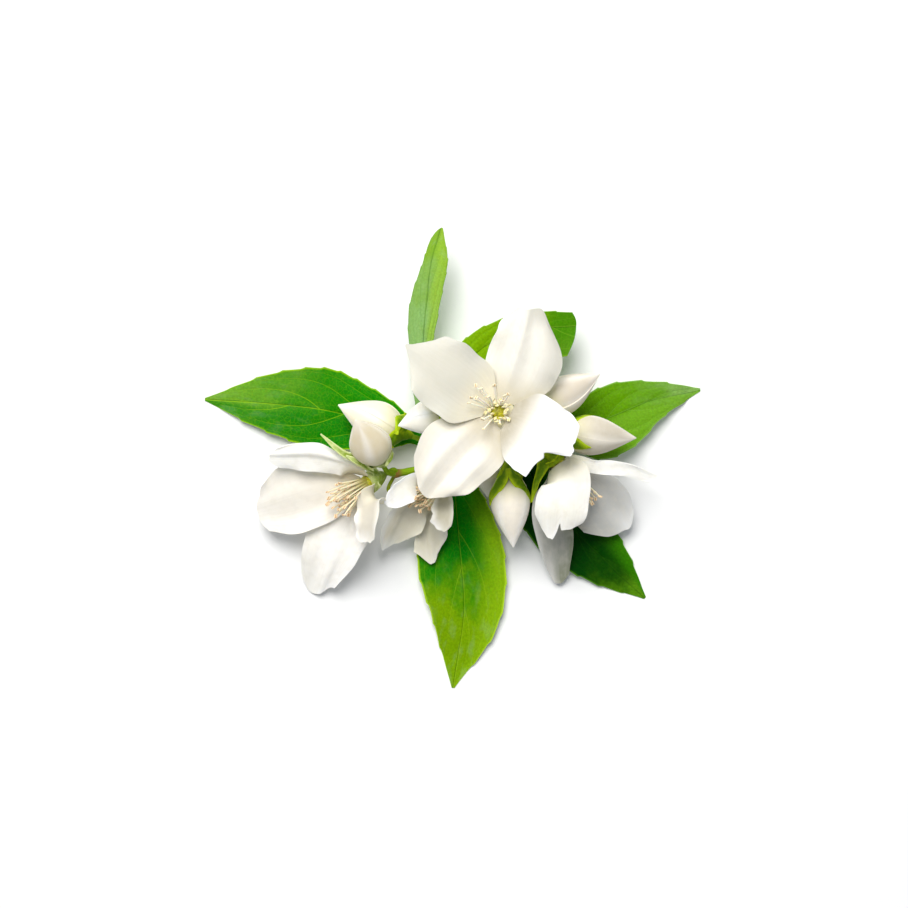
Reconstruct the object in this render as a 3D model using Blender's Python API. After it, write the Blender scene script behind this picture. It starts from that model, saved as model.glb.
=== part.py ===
"""A sprig of jasmine flowers that lies on a table: a stem, six leaves, four flowers and seven buds.

Sizes are in millimetres until a mesh is made, which is in metres. The table is at z = 0, +Z is up,
+Y is the way the top leaf points, and the origin is under the middle of the sprig.
Run it with: blender --background --python part.py
"""

import math
from dataclasses import dataclass, replace

import bmesh
import bpy
from mathutils import Vector

METRES = 0.001
UP = Vector((0, 0, 1))

# Driving dimensions
PETAL_THICKNESS = 0.6
LEAF_THICKNESS = 0.6
SEPAL_THICKNESS = 0.6
# No blade is narrower than this on either side of its spine.
LEAST_HALF_WIDTH = 0.3
# The seat is the ring round a flower's axis that its petals start from.
SEAT_RADIUS = 3.1
SEAT_HEIGHT = 0.1
# A filament rises from its root on the ring, bends at a share of its height and ends in an anther. Its
# bend stands a little nearer to the axis than its root, and further out if its anther does.
FILAMENT_RADIUS = 0.3
FILAMENT_ROOT = 1.9
FILAMENT_BEND = 0.45
BEND_INWARDS, BEND_OUTWARDS = 0.1, 0.06
ANTHER_RADIUS = 0.5
ANTHER_LENGTH = 1.0
ANTHER_SHOULDER = 0.2
# How far out the innermost anther stands, and how their heights vary round the tuft
LEAST_SPREAD = 0.8
LEVEL_SHARE, WAVE_SHARE, WAVES = 0.82, 0.18, 5
DROP_OUTWARDS = 0.15
STALK_RADIUS = 0.55
TWIG_RADIUS = 0.4
GAP = 0.3
WELD = 0.005
# How the far edge of a blade, and the teeth of a leaf, fade towards its base and its spine
FAR_EDGE_POWER = 3
TOOTH_POWER = 4
TOOTHED_FROM, TOOTHED_TO = 0.25, 0.92
# A petal turns from the seat's own direction to its roll over this share of its length.
SEATED_SHARE = 0.35
GOLDEN_ANGLE = math.radians(137.5)
SMOOTH_UP_TO = math.radians(50)

# Rows from base to tip and columns from side to side of each kind of blade, and sides of round pieces
LEAF_GRID = (18, 6)
PETAL_GRID = (8, 6)
SEPAL_GRID = (3, 2)
BUD_SEPAL_GRID = (4, 2)
CUP_SIDES = 12
RING_SIDES = 14
FILAMENT_SIDES = 4
STEM_SIDES = 9
STALK_SIDES = 6


@dataclass
class Blade:
    """A petal, leaf or sepal. Its spine runs from base to tip, and its sides reach left and right of it."""

    spine: list
    left: list
    right: list
    far_edge: tuple = (0, 0, 0, 0, 0)
    roll: tuple = (0, 0)
    cup: float = 0.0
    fold: float = 0.0
    teeth: float = 0.0
    seat_side: Vector = None


@dataclass
class Flower:
    """The middle of its cup's mouth, the way it opens, its size, and how its stamens spread and lean."""

    centre: tuple
    axis: tuple
    size: float
    stamens: int
    reach: float
    spread: float
    lean: tuple
    sepal_turn: float
    petals: dict
    sepal_reach: float = 1.0


@dataclass
class Bud:
    """A closed bud from the end of its stalk to its tip."""

    base: tuple
    tip: tuple
    radius: float
    # The angles that the four sepals stand at round the bud, and the share of its length that they reach
    sepal_turns: tuple = (45, 135, 225, 315)
    sepal_reach: float = 0.42


# Each petal's spine starts at the flower's seat, so only its later places are listed. The half-widths
# are at even steps from base to tip, and far_edge is how far the end runs past the tip, left to right.
MAIN_PETALS = {
    "left": Blade(
        [(1.9, 15.1, 21.8), (-3.5, 18.9, 22.6), (-8.8, 22.7, 22.2)],
        [1.9, 7.2, 7.6, 7.6, 6.9, 6.0],
        [1.9, 6.5, 7.0, 7.4, 6.8, 6.3],
        (-5.1, -2.6, 0.2, -2.1, -4.8),
        cup=0.05,
    ),
    "up": Blade(
        [(12.1, 18.3, 20.0), (14.3, 24.8, 21.0), (15.9, 31.0, 21.4)],
        [1.9, 5.0, 5.9, 5.7, 5.3, 5.1],
        [1.9, 7.8, 9.2, 8.9, 6.3, 4.0],
        (-3.9, -0.9, -0.3, 0.3, -1.9),
        cup=0.04,
    ),
    "right": Blade(
        [(15.7, 6.2, 21.6), (19.5, 3.9, 22.0), (23.0, 2.1, 21.8)],
        [1.9, 7.0, 7.5, 7.3, 7.0, 5.7],
        [1.9, 7.4, 8.3, 8.6, 8.6, 8.4],
        (-0.1, 0.9, 1.6, -3.6, -5.5),
        cup=0.05,
    ),
    "down": Blade(
        [(3.5, 2.7, 19.8), (-0.7, -2.4, 20.2), (-5.0, -7.6, 19.2)],
        [1.9, 6.9, 7.2, 6.6, 5.9, 5.0],
        [1.9, 6.8, 9.1, 9.0, 7.9, 5.7],
        (-4.9, -2.3, 0.3, -0.5, -2.9),
        cup=0.04,
    ),
}
LEFT_PETALS = {
    "up": Blade(
        [(-22.1, -0.8, 12.4), (-29.5, 0.7, 12.8), (-37.2, 0.7, 11.6)],
        [1.3, 2.2, 4.2, 5.2, 5.2, 4.2],
        [1.3, 1.7, 2.1, 3.2, 2.8, 2.2],
        (-1.5, 0.3, 0.6, 0.0, -1.6),
        roll=(28, 20),
        cup=0.2,
    ),
    "left": Blade(
        [(-24.4, -6.4, 7.9), (-32.4, -8.9, 7.2), (-40.3, -10.8, 4.6)],
        [1.3, 2.3, 4.5, 5.8, 5.7, 4.4],
        [1.3, 2.8, 5.2, 6.6, 6.4, 5.2],
        (-1.0, 0.3, 0.4, -0.8, -3.6),
        roll=(8, 6),
        cup=0.15,
    ),
    "down": Blade(
        [(-20.4, -11.9, 7.5), (-24.2, -19.5, 6.0), (-27.6, -27.6, 1.4)],
        [1.3, 3.5, 5.2, 5.1, 3.9, 2.7],
        [1.3, 2.2, 5.2, 7.0, 6.8, 5.4],
        (-2.6, -1.8, 0.5, 0.9, -2.5),
        roll=(-22, -10),
        cup=0.15,
    ),
    "right": Blade(
        [(-17.0, -9.2, 13.6), (-17.2, -12.8, 15.2), (-17.6, -16.5, 15.0)],
        [1.3, 2.6, 3.1, 2.8, 2.5, 2.4],
        [1.3, 2.3, 3.0, 3.2, 3.0, 2.6],
        (-0.8, 0.2, 0.4, 0.5, -0.6),
        roll=(-42, -40),
        cup=0.2,
    ),
}
CENTRE_PETALS = {
    "up": Blade(
        [(-7.7, -4.1, 12.0), (-10.8, -5.7, 13.4), (-13.8, -8.5, 12.8)],
        [1.2, 2.6, 3.6, 3.9, 3.4, 2.2],
        [1.2, 1.7, 1.7, 1.5, 1.4, 1.3],
        (-0.4, 0.3, 0.5, -0.6, -2.0),
        roll=(25, 15),
        cup=0.2,
    ),
    "left": Blade(
        [(-8.6, -9.5, 7.4), (-11.0, -13.7, 6.2), (-12.9, -17.7, 4.6)],
        [1.1, 3.0, 4.2, 4.5, 3.9, 2.8],
        [1.1, 2.3, 3.3, 3.6, 3.2, 2.4],
        (-2.9, -1.3, -0.1, 1.6, -0.1),
        roll=(20, 12),
        cup=0.25,
    ),
    "down": Blade(
        [(-4.5, -11.4, 4.6), (-5.1, -16.2, 3.9), (-4.5, -21.3, 3.6)],
        [1.1, 2.8, 3.6, 3.9, 3.6, 1.8],
        [1.1, 1.8, 2.0, 2.2, 2.8, 3.3],
        (-2.2, 0.0, 0.4, -1.1, -2.6),
        roll=(-5, 0),
        cup=0.25,
    ),
    "right": Blade(
        [(-1.7, -8.4, 12.6), (-1.8, -11.2, 14.2), (-2.4, -14.1, 13.6)],
        [1.2, 1.9, 2.3, 2.7, 2.7, 2.7],
        [1.2, 1.6, 2.3, 2.4, 2.4, 2.4],
        (-1.2, 0.2, 0.4, 0.0, -1.1),
        roll=(-35, -30),
        cup=0.35,
    ),
}
RIGHT_PETALS = {
    "front": Blade(
        [(22.8, -4.4, 16.4), (22.3, -9.5, 16.8), (21.6, -14.5, 15.0)],
        [1.9, 4.3, 5.2, 5.4, 5.2, 4.8],
        [1.9, 4.1, 4.7, 5.4, 5.4, 3.6],
        (-2.4, -0.8, 0.3, 2.0, -0.6),
        cup=-0.2,
    ),
    "up": Blade(
        [(28.8, -1.1, 13.0), (35.2, -1.6, 13.4), (42.0, -3.4, 12.4)],
        [1.5, 2.2, 2.2, 2.0, 1.5, 1.4],
        [1.5, 2.6, 2.7, 2.9, 2.4, 2.6],
        (-2.2, -0.2, -0.1, 0.0, -1.4),
        roll=(-65, -50),
        cup=0.2,
    ),
    "far": Blade(
        [(28.3, -5.0, 7.0), (31.7, -9.3, 5.2), (35.2, -14.4, 3.6)],
        [1.4, 2.8, 4.8, 5.6, 5.2, 4.3],
        [1.4, 4.0, 6.2, 7.0, 7.2, 6.9],
        (-1.3, 0.6, 0.5, -0.6, -4.6),
        roll=(-15, 0),
        cup=0.15,
    ),
    "down": Blade(
        [(20.0, -7.2, 8.8), (20.3, -14.5, 6.8), (21.9, -25.7, 1.4)],
        [1.4, 2.9, 3.9, 4.4, 4.2, 2.9],
        [1.4, 3.3, 3.7, 3.7, 3.0, 2.0],
        (-1.6, -0.2, 0.1, -1.3, -4.6),
        roll=(25, 0),
        cup=0.2,
    ),
}
FLOWERS = {
    "main": Flower((9.3, 9.8, 19.0), (0, 0, 1), 1.0, 20, 6.0, 5.0, (-2.0, 2.0, 0), 45, MAIN_PETALS),
    "left": Flower(
        (-17.6, -4.8, 9.6), (-0.8, -0.42, 0.42), 0.9, 13, 9.0, 2.0, (0, 0, 1), 45, LEFT_PETALS, 0.7
    ),
    "centre": Flower(
        (-3.2, -5.5, 8.2), (-0.56, -0.61, 0.56), 0.8, 12, 6.0, 1.0, (0, 0, 0), 45, CENTRE_PETALS
    ),
    "right": Flower(
        (21.7, -0.4, 11.5), (0.62, -0.76, -0.15), 0.9, 11, 7.0, 1.0, (0, 0, 0), 45, RIGHT_PETALS, 0.7
    ),
}
# These petals lie over their neighbours at the seat.
UPPER_PETALS = {"main_petal_left": 0.9, "main_petal_right": 0.9, "centre_petal_left": 0.9}
# A sepal's spine under a flower, as how far out and how high, and its half-widths, for size 1
SEPAL_SPOTS = [(1.6, -1.7), (2.8, -1.6), (3.8, -1.6), (4.8, -1.9)]
SEPAL_HALF_WIDTHS = [1.2, 1.6, 1.4, 0.9, 0.5, 0.3]

LIGHT_LEAVES = ("leaf_top", "leaf_back", "leaf_right")
LEAVES = {
    "leaf_left": Blade(
        [(-6.0, 3.4, 2.4), (-10.2, 6.4, 1.2), (-22.5, 9.7, 0.7), (-34.0, 11.5, 2.2), (-52.0, 12.8, -0.7)],
        [0.6, 3.0, 6.4, 8.2, 6.2, 0.3],
        [0.6, 2.1, 6.1, 8.6, 6.5, 0.3],
        fold=0.06,
        teeth=0.5,
    ),
    "leaf_top": Blade(
        [(-5.5, 3.6, 3.8), (-6.6, 12.5, 6.4), (-6.0, 24.9, 9.0), (-4.6, 39.3, 10.4), (-2.6, 47.8, 8.6)],
        [0.6, 1.0, 2.3, 4.0, 2.2, 0.3],
        [0.6, 1.2, 1.4, 2.9, 3.3, 0.3],
        roll=(0, 15),
        cup=-0.15,
        teeth=0.3,
    ),
    "leaf_back": Blade(
        [(1.4, 3.1, 2.1), (-0.4, 13.6, 5.4), (5.7, 22.8, 8.0), (15.4, 26.9, 9.4), (25.4, 27.8, 8.4)],
        [0.6, 2.0, 3.6, 3.6, 3.4, 2.9],
        [0.6, 1.9, 5.3, 7.3, 7.4, 6.1],
        (-0.4, 0.2, 0.2, -0.6, -2.3),
        fold=0.12,
        teeth=0.3,
    ),
    "leaf_right": Blade(
        [(20.6, 5.0, 3.4), (24.5, 5.9, 3.4), (32.0, 8.6, 3.4), (41.3, 12.4, 2.6), (52.0, 14.8, -0.7)],
        [0.6, 2.6, 5.8, 6.3, 3.5, 0.3],
        [0.6, 2.9, 7.6, 7.3, 3.7, 0.3],
        fold=0.05,
        teeth=0.4,
    ),
    "leaf_lower_right": Blade(
        [(14.1, 2.2, 3.0), (15.8, -2.0, 2.8), (21.6, -10.4, 1.6), (30.9, -20.1, 1.0), (40.4, -28.9, -0.6)],
        [0.6, 2.7, 4.8, 6.9, 4.9, 0.3],
        [0.6, 2.3, 6.8, 7.7, 5.0, 0.3],
        fold=0.04,
        teeth=0.5,
    ),
    "leaf_bottom": Blade(
        [(1.3, -1.6, 2.6), (0.5, -4.6, 2.8), (1.1, -14.6, 2.4), (2.4, -30.9, 1.6), (0.1, -47.8, -0.8)],
        [0.6, 3.1, 6.6, 9.1, 7.1, 0.3],
        [0.6, 2.3, 5.0, 9.1, 6.2, 0.3],
        fold=0.05,
        teeth=0.5,
    ),
}
BUDS = {
    "bud_upper_left": Bud((-8.3, 4.9, 6.2), (-23.8, 11.5, 6.0), 4.1, sepal_reach=0.36),
    "bud_front_left": Bud((-13.4, -1.2, 10.8), (-19.0, 8.2, 20.8), 4.3, sepal_reach=0.36),
    "bud_behind_left": Bud((-0.1, 10.4, 12.0), (-11.2, 7.1, 12.2), 3.3, sepal_reach=0.36),
    "bud_upper_right": Bud((16.3, 9.5, 11.8), (30.2, 17.7, 13.6), 3.9, sepal_reach=0.36),
    "bud_right": Bud((20.3, 5.6, 11.4), (37.9, 4.6, 10.4), 3.8, (310, 190, 130, 75), 0.48),
    "bud_bottom": Bud((10.4, -0.05, 9.9), (12.5, -18.0, 9.0), 3.8, (200, 340, 60, 120), 0.48),
    "bud_peeking": Bud((6.5, 1.1, 4.6), (8.1, -7.4, 3.6), 2.4, sepal_reach=0.36),
}
# Shares of a bud's length and of its radius, up its green cup and up its white body
BUD_CUP_PROFILE = [(0.0, 0.14), (0.06, 0.29), (0.11, 0.43), (0.16, 0.56)]
BUD_BODY_PROFILE = [
    (0.19, 0.6),
    (0.28, 0.84),
    (0.38, 0.97),
    (0.49, 1.0),
    (0.59, 0.92),
    (0.69, 0.76),
    (0.8, 0.54),
    (0.9, 0.29),
    (1.0, 0.1),
]
# Where a bud's sepal starts, where it begins to hug the body, how many places it has from there to its
# tip, its half-widths as shares of the bud's radius, and the least radius that it keeps while it hugs
BUD_SEPAL_ROOT = (0.1, 0.3)
BUD_SEPAL_FROM = 0.2
BUD_SEPAL_PLACES = 4
BUD_SEPAL_WIDTHS = (0.25, 0.5, 0.52, 0.42, 0.24, 0.05)
BUD_SEPAL_LEAST = 0.72
BUD_SEPAL_CLEAR = GAP + SEPAL_THICKNESS / 2 + 0.15
# Heights and radii up a flower's green cup and the disc in its middle, for size 1
CUP_PROFILE = [
    (-5.2, 0.5),
    (-4.4, 1.1),
    (-3.0, 1.8),
    (-1.4, 2.4),
    (-0.5, 2.6),
    (-0.3, 2.4),
    (-0.3, 1.3),
    (0.6, 1.3),
    (1.1, 0.8),
]
STAMEN_RING_PROFILE = [(0.0, 1.65), (0.0, 2.3), (0.6, 2.2), (0.6, 1.65)]

# The stem from its cut end to its last pair of leaves, and where each side stalk leaves it
STEM_PATH = [
    (24.2, 8.6, 1.5),
    (18.6, 6.9, 1.4),
    (11.0, 4.6, 1.2),
    (3.7, 2.4, 1.2),
    (-4.3, -0.4, 2.4),
    (-12.4, -2.4, 6.2),
]
STEM_RADII = [1.0, 1.1, 0.95, 1.0, 0.8, 0.75]
# Each stalk runs on from here to just short of its flower's or bud's cup.
STALKS = {
    "main": [(4.6, 2.7, 1.6), (7.4, 6.4, 6.5)],
    "left": [(-11.6, -2.2, 5.9)],
    "centre": [(-2.6, 0.2, 2.0), (-0.4, -1.0, 3.6)],
    "right": [(18.0, 6.7, 1.6), (17.2, 5.4, 7.5)],
    "bud_upper_left": [(-4.3, -0.4, 2.4), (-5.4, 2.0, 4.6)],
    "bud_front_left": [(-12.2, -2.4, 6.1), (-12.7, -2.6, 8.0)],
    "bud_behind_left": [(5.4, 3.0, 1.6), (4.2, 8.4, 8.0)],
    "bud_upper_right": [(16.6, 6.3, 1.5), (14.4, 7.4, 7.5)],
    "bud_right": [(18.9, 7.0, 1.5), (17.2, 6.4, 7.0)],
    "bud_bottom": [(8.2, 3.8, 1.5), (9.6, 4.0, 6.5)],
    "bud_peeking": [(6.9, 3.4, 1.6), (6.2, 4.0, 3.4)],
}
# A stalk is in line with its cup for this far, and stops this far short of it.
STALK_LEAD = 1.6
STALK_STOP = GAP + 0.1
TWIG_PATH = [(-11.6, -2.4, 5.6), (-13.4, -6.0, 5.0), (-11.6, -7.4, 4.6)]

COLOURS = {
    "petal": (0.86, 0.83, 0.76),
    "stamen": (0.86, 0.72, 0.42),
    "sepal": (0.30, 0.40, 0.06),
    "stem": (0.21, 0.33, 0.03),
    "leaf_light": (0.27, 0.52, 0.10),
    "leaf_dark": (0.06, 0.26, 0.01),
}


def clear_scene():
    for obj in list(bpy.data.objects):
        bpy.data.objects.remove(obj, do_unlink=True)


def material(name, roughness=0.5):
    """A plain finish in one of the sprig's colours, made once."""
    if name in bpy.data.materials:
        return bpy.data.materials[name]
    finish = bpy.data.materials.new(name)
    finish.use_nodes = True
    shader = finish.node_tree.nodes["Principled BSDF"]
    shader.inputs["Base Color"].default_value = (*COLOURS[name], 1.0)
    shader.inputs["Roughness"].default_value = roughness
    shader.inputs["Metallic"].default_value = 0.0
    return finish


def along(points, share):
    """The value at this share of a smooth curve through evenly spaced points, which may be numbers."""
    spans = len(points) - 1
    place = min(max(share, 0.0), 1.0) * spans
    first = min(int(place), spans - 1)
    t = place - first
    b, c = points[first], points[first + 1]
    a = points[first - 1] if first else b * 2 - c
    d = points[first + 2] if first + 2 <= spans else c * 2 - b
    return (b * 2 + (c - a) * t + (a * 2 - b * 5 + c * 4 - d) * t**2 + (b * 3 - a - c * 3 + d) * t**3) * 0.5


def as_vectors(points):
    return [Vector(point) for point in points]


def mesh_object(name, points, faces, finish):
    """One named object from places in millimetres."""
    mesh = bpy.data.meshes.new(name)
    mesh.from_pydata([Vector(p) * METRES for p in points], [], faces)
    mesh.materials.append(material(finish))
    mesh.update()
    mesh.shade_smooth()
    mesh.set_sharp_from_angle(angle=SMOOTH_UP_TO)
    obj = bpy.data.objects.new(name, mesh)
    bpy.context.scene.collection.objects.link(obj)
    return obj


def sheet_frame(blade, spine, share, up):
    """The place on the spine, and the ways along it, to its right and off its face."""
    step = 0.01
    here = along(spine, share)
    ahead = (along(spine, share + step) - along(spine, share - step)).normalized()
    side = ahead.cross(up).normalized()
    angle = math.radians(blade.roll[0] + (blade.roll[1] - blade.roll[0]) * share)
    right = side * math.cos(angle) + side.cross(ahead) * math.sin(angle)
    if blade.seat_side and share < SEATED_SHARE:
        right = blade.seat_side.lerp(right, share / SEATED_SHARE)
        right = (right - ahead * right.dot(ahead)).normalized()
    return here, ahead, right, right.cross(ahead)


def tooth(blade, row, rows):
    """How much a leaf's edge stands out on this row: every other one of its toothed stretch."""
    share = row / rows
    return blade.teeth if row % 2 and TOOTHED_FROM < share < TOOTHED_TO else 0.0


def sheet_places(blade, rows, columns, up):
    """The middle face of a blade, row by row from its base, each from left to right."""
    spine = as_vectors(blade.spine)
    places = []
    for row in range(rows + 1):
        share = row / rows
        here, ahead, right, face = sheet_frame(blade, spine, share, up)
        for column in range(columns + 1):
            across = 2 * column / columns - 1
            reach = along(blade.right if across > 0 else blade.left, share)
            reach = max(reach, LEAST_HALF_WIDTH) + tooth(blade, row, rows) * abs(across) ** TOOTH_POWER
            rise = reach * (blade.cup * across**2 + blade.fold * abs(across))
            run = along(blade.far_edge, (across + 1) / 2) * share**FAR_EDGE_POWER
            places.append(here + right * (across * reach) + face * rise + ahead * run)
    return places


def sheet_normals(places, rows, columns):
    normals = []
    for row in range(rows + 1):
        for column in range(columns + 1):
            before, after = max(row - 1, 0), min(row + 1, rows)
            low, high = max(column - 1, 0), min(column + 1, columns)
            along_rows = places[after * (columns + 1) + column] - places[before * (columns + 1) + column]
            along_columns = places[row * (columns + 1) + high] - places[row * (columns + 1) + low]
            normals.append(along_columns.cross(along_rows).normalized())
    return normals


def sheet_body(blade, thickness, rows, columns, up=UP, on_table=False):
    """Points and triangles of a blade, which split alike on both faces so that it is equally thick."""
    places = sheet_places(blade, rows, columns, up)
    normals = sheet_normals(places, rows, columns)
    half = thickness / 2
    if on_table:
        for index, place in enumerate(places):
            if place.z < half:
                place.z = half
                normals[index] = UP
    top = [place + normal * half for place, normal in zip(places, normals)]
    under = [place - normal * half for place, normal in zip(places, normals)]
    if on_table:
        for place in under:
            place.z = max(place.z, 0.0)
    count = len(places)
    wide = columns + 1
    faces = []
    for row in range(rows):
        for column in range(columns):
            a = row * wide + column
            b, c, d = a + 1, a + wide + 1, a + wide
            faces += [(a, b, c), (a, c, d)]
            faces += [(count + c, count + b, count + a), (count + d, count + c, count + a)]
    rim = [column for column in range(wide)]
    rim += [row * wide + columns for row in range(1, rows + 1)]
    rim += [rows * wide + column for column in range(columns - 1, -1, -1)]
    rim += [row * wide for row in range(rows - 1, 0, -1)]
    for a, b in zip(rim, rim[1:] + rim[:1]):
        faces += [(b, a, count + a), (b, count + a, count + b)]
    return top + under, faces


def ring_frame(ahead, turn=0.0):
    """Two ways square to this one, the first as level as can be."""
    first = ahead.cross(UP)
    if first.length < 0.1:
        first = ahead.cross(Vector((0, 1, 0)))
    first.normalize()
    second = ahead.cross(first)
    return (
        first * math.cos(turn) + second * math.sin(turn),
        second * math.cos(turn) - first * math.sin(turn),
    )


def tube_body(path, radii, sides):
    """Points and faces of a round body along a path, with flat ends. Its rings don't twist."""
    path = as_vectors(path)
    first, _ = ring_frame((path[1] - path[0]).normalized())
    points = []
    for index, (place, radius) in enumerate(zip(path, radii)):
        before, after = path[max(index - 1, 0)], path[min(index + 1, len(path) - 1)]
        ahead = (after - before).normalized()
        first = (first - ahead * first.dot(ahead)).normalized()
        second = ahead.cross(first)
        for side in range(sides):
            angle = math.tau * side / sides
            points.append(place + (first * math.cos(angle) + second * math.sin(angle)) * radius)
    return points, ring_faces(len(path), sides)


def ring_faces(rings, sides):
    faces = [tuple(reversed(range(sides)))]
    for ring in range(rings - 1):
        for side in range(sides):
            a = ring * sides + side
            b = ring * sides + (side + 1) % sides
            faces.append((a, b, b + sides, a + sides))
    faces.append(tuple(range((rings - 1) * sides, rings * sides)))
    return faces


def turned_body(base, axis, profile, sides, turn=0.0):
    """Points and faces of a profile of heights and radii turned round an axis."""
    axis = Vector(axis).normalized()
    first, second = ring_frame(axis, turn)
    points = []
    for height, radius in profile:
        for side in range(sides):
            angle = math.tau * side / sides
            out = first * math.cos(angle) + second * math.sin(angle)
            points.append(Vector(base) + axis * height + out * radius)
    return points, ring_faces(len(profile), sides)


def ring_body(base, axis, profile, sides):
    """Points and faces of a closed ring: its profile is turned round the axis and meets itself."""
    points, _ = turned_body(base, axis, profile, sides)
    faces = []
    for ring in range(len(profile)):
        above = (ring + 1) % len(profile)
        for side in range(sides):
            after = (side + 1) % sides
            faces.append(
                (ring * sides + side, ring * sides + after, above * sides + after, above * sides + side)
            )
    return points, faces


def weld_slivers(mesh):
    """Welds the hair-thin faces that a union leaves, so that the solid stays closed as triangles."""
    shape = bmesh.new()
    shape.from_mesh(mesh)
    bmesh.ops.triangulate(shape, faces=shape.faces)
    bmesh.ops.remove_doubles(shape, verts=shape.verts, dist=WELD * METRES)
    bmesh.ops.dissolve_degenerate(shape, dist=WELD * METRES, edges=shape.edges)
    bmesh.ops.triangulate(shape, faces=shape.faces)
    shape.to_mesh(mesh)
    shape.free()


def joined(name, bodies, finish):
    """One object made of overlapping bodies with a union, so that they become a single solid."""
    main = mesh_object(name, *bodies[0], finish)
    helpers = bpy.data.collections.new(name + "_pieces")
    bpy.context.scene.collection.children.link(helpers)
    for index, (points, faces) in enumerate(bodies[1:]):
        piece = mesh_object(f"{name}_piece_{index}", points, faces, finish)
        bpy.context.scene.collection.objects.unlink(piece)
        helpers.objects.link(piece)
    union = main.modifiers.new("union", "BOOLEAN")
    union.operation = "UNION"
    union.operand_type = "COLLECTION"
    union.collection = helpers
    union.solver = "EXACT"
    bpy.context.view_layer.update()
    graph = bpy.context.evaluated_depsgraph_get()
    merged = bpy.data.meshes.new_from_object(main.evaluated_get(graph))
    merged.materials.clear()
    merged.materials.append(material(finish))
    weld_slivers(merged)
    main.modifiers.clear()
    main.data = merged
    merged.name = name
    for piece in list(helpers.objects):
        bpy.data.objects.remove(piece, do_unlink=True)
    bpy.data.collections.remove(helpers)
    return main


def make_leaf(name, blade):
    finish = "leaf_light" if name in LIGHT_LEAVES else "leaf_dark"
    points, faces = sheet_body(blade, LEAF_THICKNESS, *LEAF_GRID, on_table=True)
    mesh_object(name, points, faces, finish)


def make_petal(name, flower, blade):
    """A petal whose base sits on the flower's seat, on the side that the petal leaves it by."""
    centre, axis = Vector(flower.centre), Vector(flower.axis).normalized()
    first = Vector(blade.spine[0]) - centre
    out = (first - axis * first.dot(axis)).normalized()
    height = SEAT_HEIGHT + UPPER_PETALS.get(name, 0.0)
    seat = centre + out * (SEAT_RADIUS * flower.size) + axis * height
    side = out.cross(axis)
    if side.dot((first + centre - seat).cross(UP)) < 0:
        side = -side
    seated = replace(blade, spine=[seat] + as_vectors(blade.spine), seat_side=side)
    points, faces = sheet_body(seated, PETAL_THICKNESS, *PETAL_GRID)
    mesh_object(name, points, faces, "petal")


def make_flower_cup(name, flower):
    """The green cup with its disc, and four pointed sepals that spread from under its rim."""
    centre, axis = Vector(flower.centre), Vector(flower.axis).normalized()
    profile = [(height * flower.size, radius * flower.size) for height, radius in CUP_PROFILE]
    bodies = [turned_body(centre, axis, profile, CUP_SIDES)]
    for quarter in range(4):
        first, _ = ring_frame(axis, math.radians(flower.sepal_turn + 90 * quarter))
        reach = flower.size * flower.sepal_reach
        spine = [
            centre + first * (out * reach) + axis * (height * flower.size) for out, height in SEPAL_SPOTS
        ]
        sepal = Blade(spine, SEPAL_HALF_WIDTHS, SEPAL_HALF_WIDTHS, cup=0.1)
        bodies.append(sheet_body(sepal, SEPAL_THICKNESS, *SEPAL_GRID, up=axis))
    joined(name, bodies, "sepal")


def stamen_ends(flower):
    """The tips of the stamens in the flower's own frame: out, across and up from its middle."""
    ends = []
    for index in range(flower.stamens):
        share = (index + 0.5) / flower.stamens
        angle = index * GOLDEN_ANGLE
        out = LEAST_SPREAD + flower.spread * share
        level = LEVEL_SHARE + WAVE_SHARE * math.cos(WAVES * angle)
        height = flower.reach * level - DROP_OUTWARDS * out
        ends.append((angle, out, height))
    return ends


def make_stamens(name, flower):
    """A low ring round the disc with the filaments rooted in it, each with its anther."""
    centre, axis = Vector(flower.centre), Vector(flower.axis).normalized()
    ring = [(height, radius * flower.size) for height, radius in STAMEN_RING_PROFILE]
    bodies = [ring_body(centre, axis, ring, RING_SIDES)]
    for angle, out, height in stamen_ends(flower):
        way, _ = ring_frame(axis, angle)
        root = centre + way * (FILAMENT_ROOT * flower.size) + axis * FILAMENT_RADIUS
        bend_out = (FILAMENT_ROOT - BEND_INWARDS) * flower.size + BEND_OUTWARDS * out
        bend = centre + way * bend_out + axis * (height * FILAMENT_BEND)
        tip = centre + way * out + axis * height + Vector(flower.lean) * (height / flower.reach)
        ahead = (tip - bend).normalized()
        path = [root, bend, tip, tip + ahead * ANTHER_SHOULDER, tip + ahead * ANTHER_LENGTH]
        radii = [FILAMENT_RADIUS, FILAMENT_RADIUS, FILAMENT_RADIUS * 0.9, ANTHER_RADIUS, ANTHER_RADIUS * 0.6]
        bodies.append(tube_body(path, radii, FILAMENT_SIDES))
    joined(name, bodies, "stamen")


def bud_radius(share):
    """The radius of a bud's white body at this share of the bud's length, as a share of its widest."""
    for (low, thin), (high, thick) in zip(BUD_BODY_PROFILE, BUD_BODY_PROFILE[1:]):
        if share <= high:
            return thin + (thick - thin) * max(share - low, 0.0) / (high - low)
    return BUD_BODY_PROFILE[-1][1]


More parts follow.
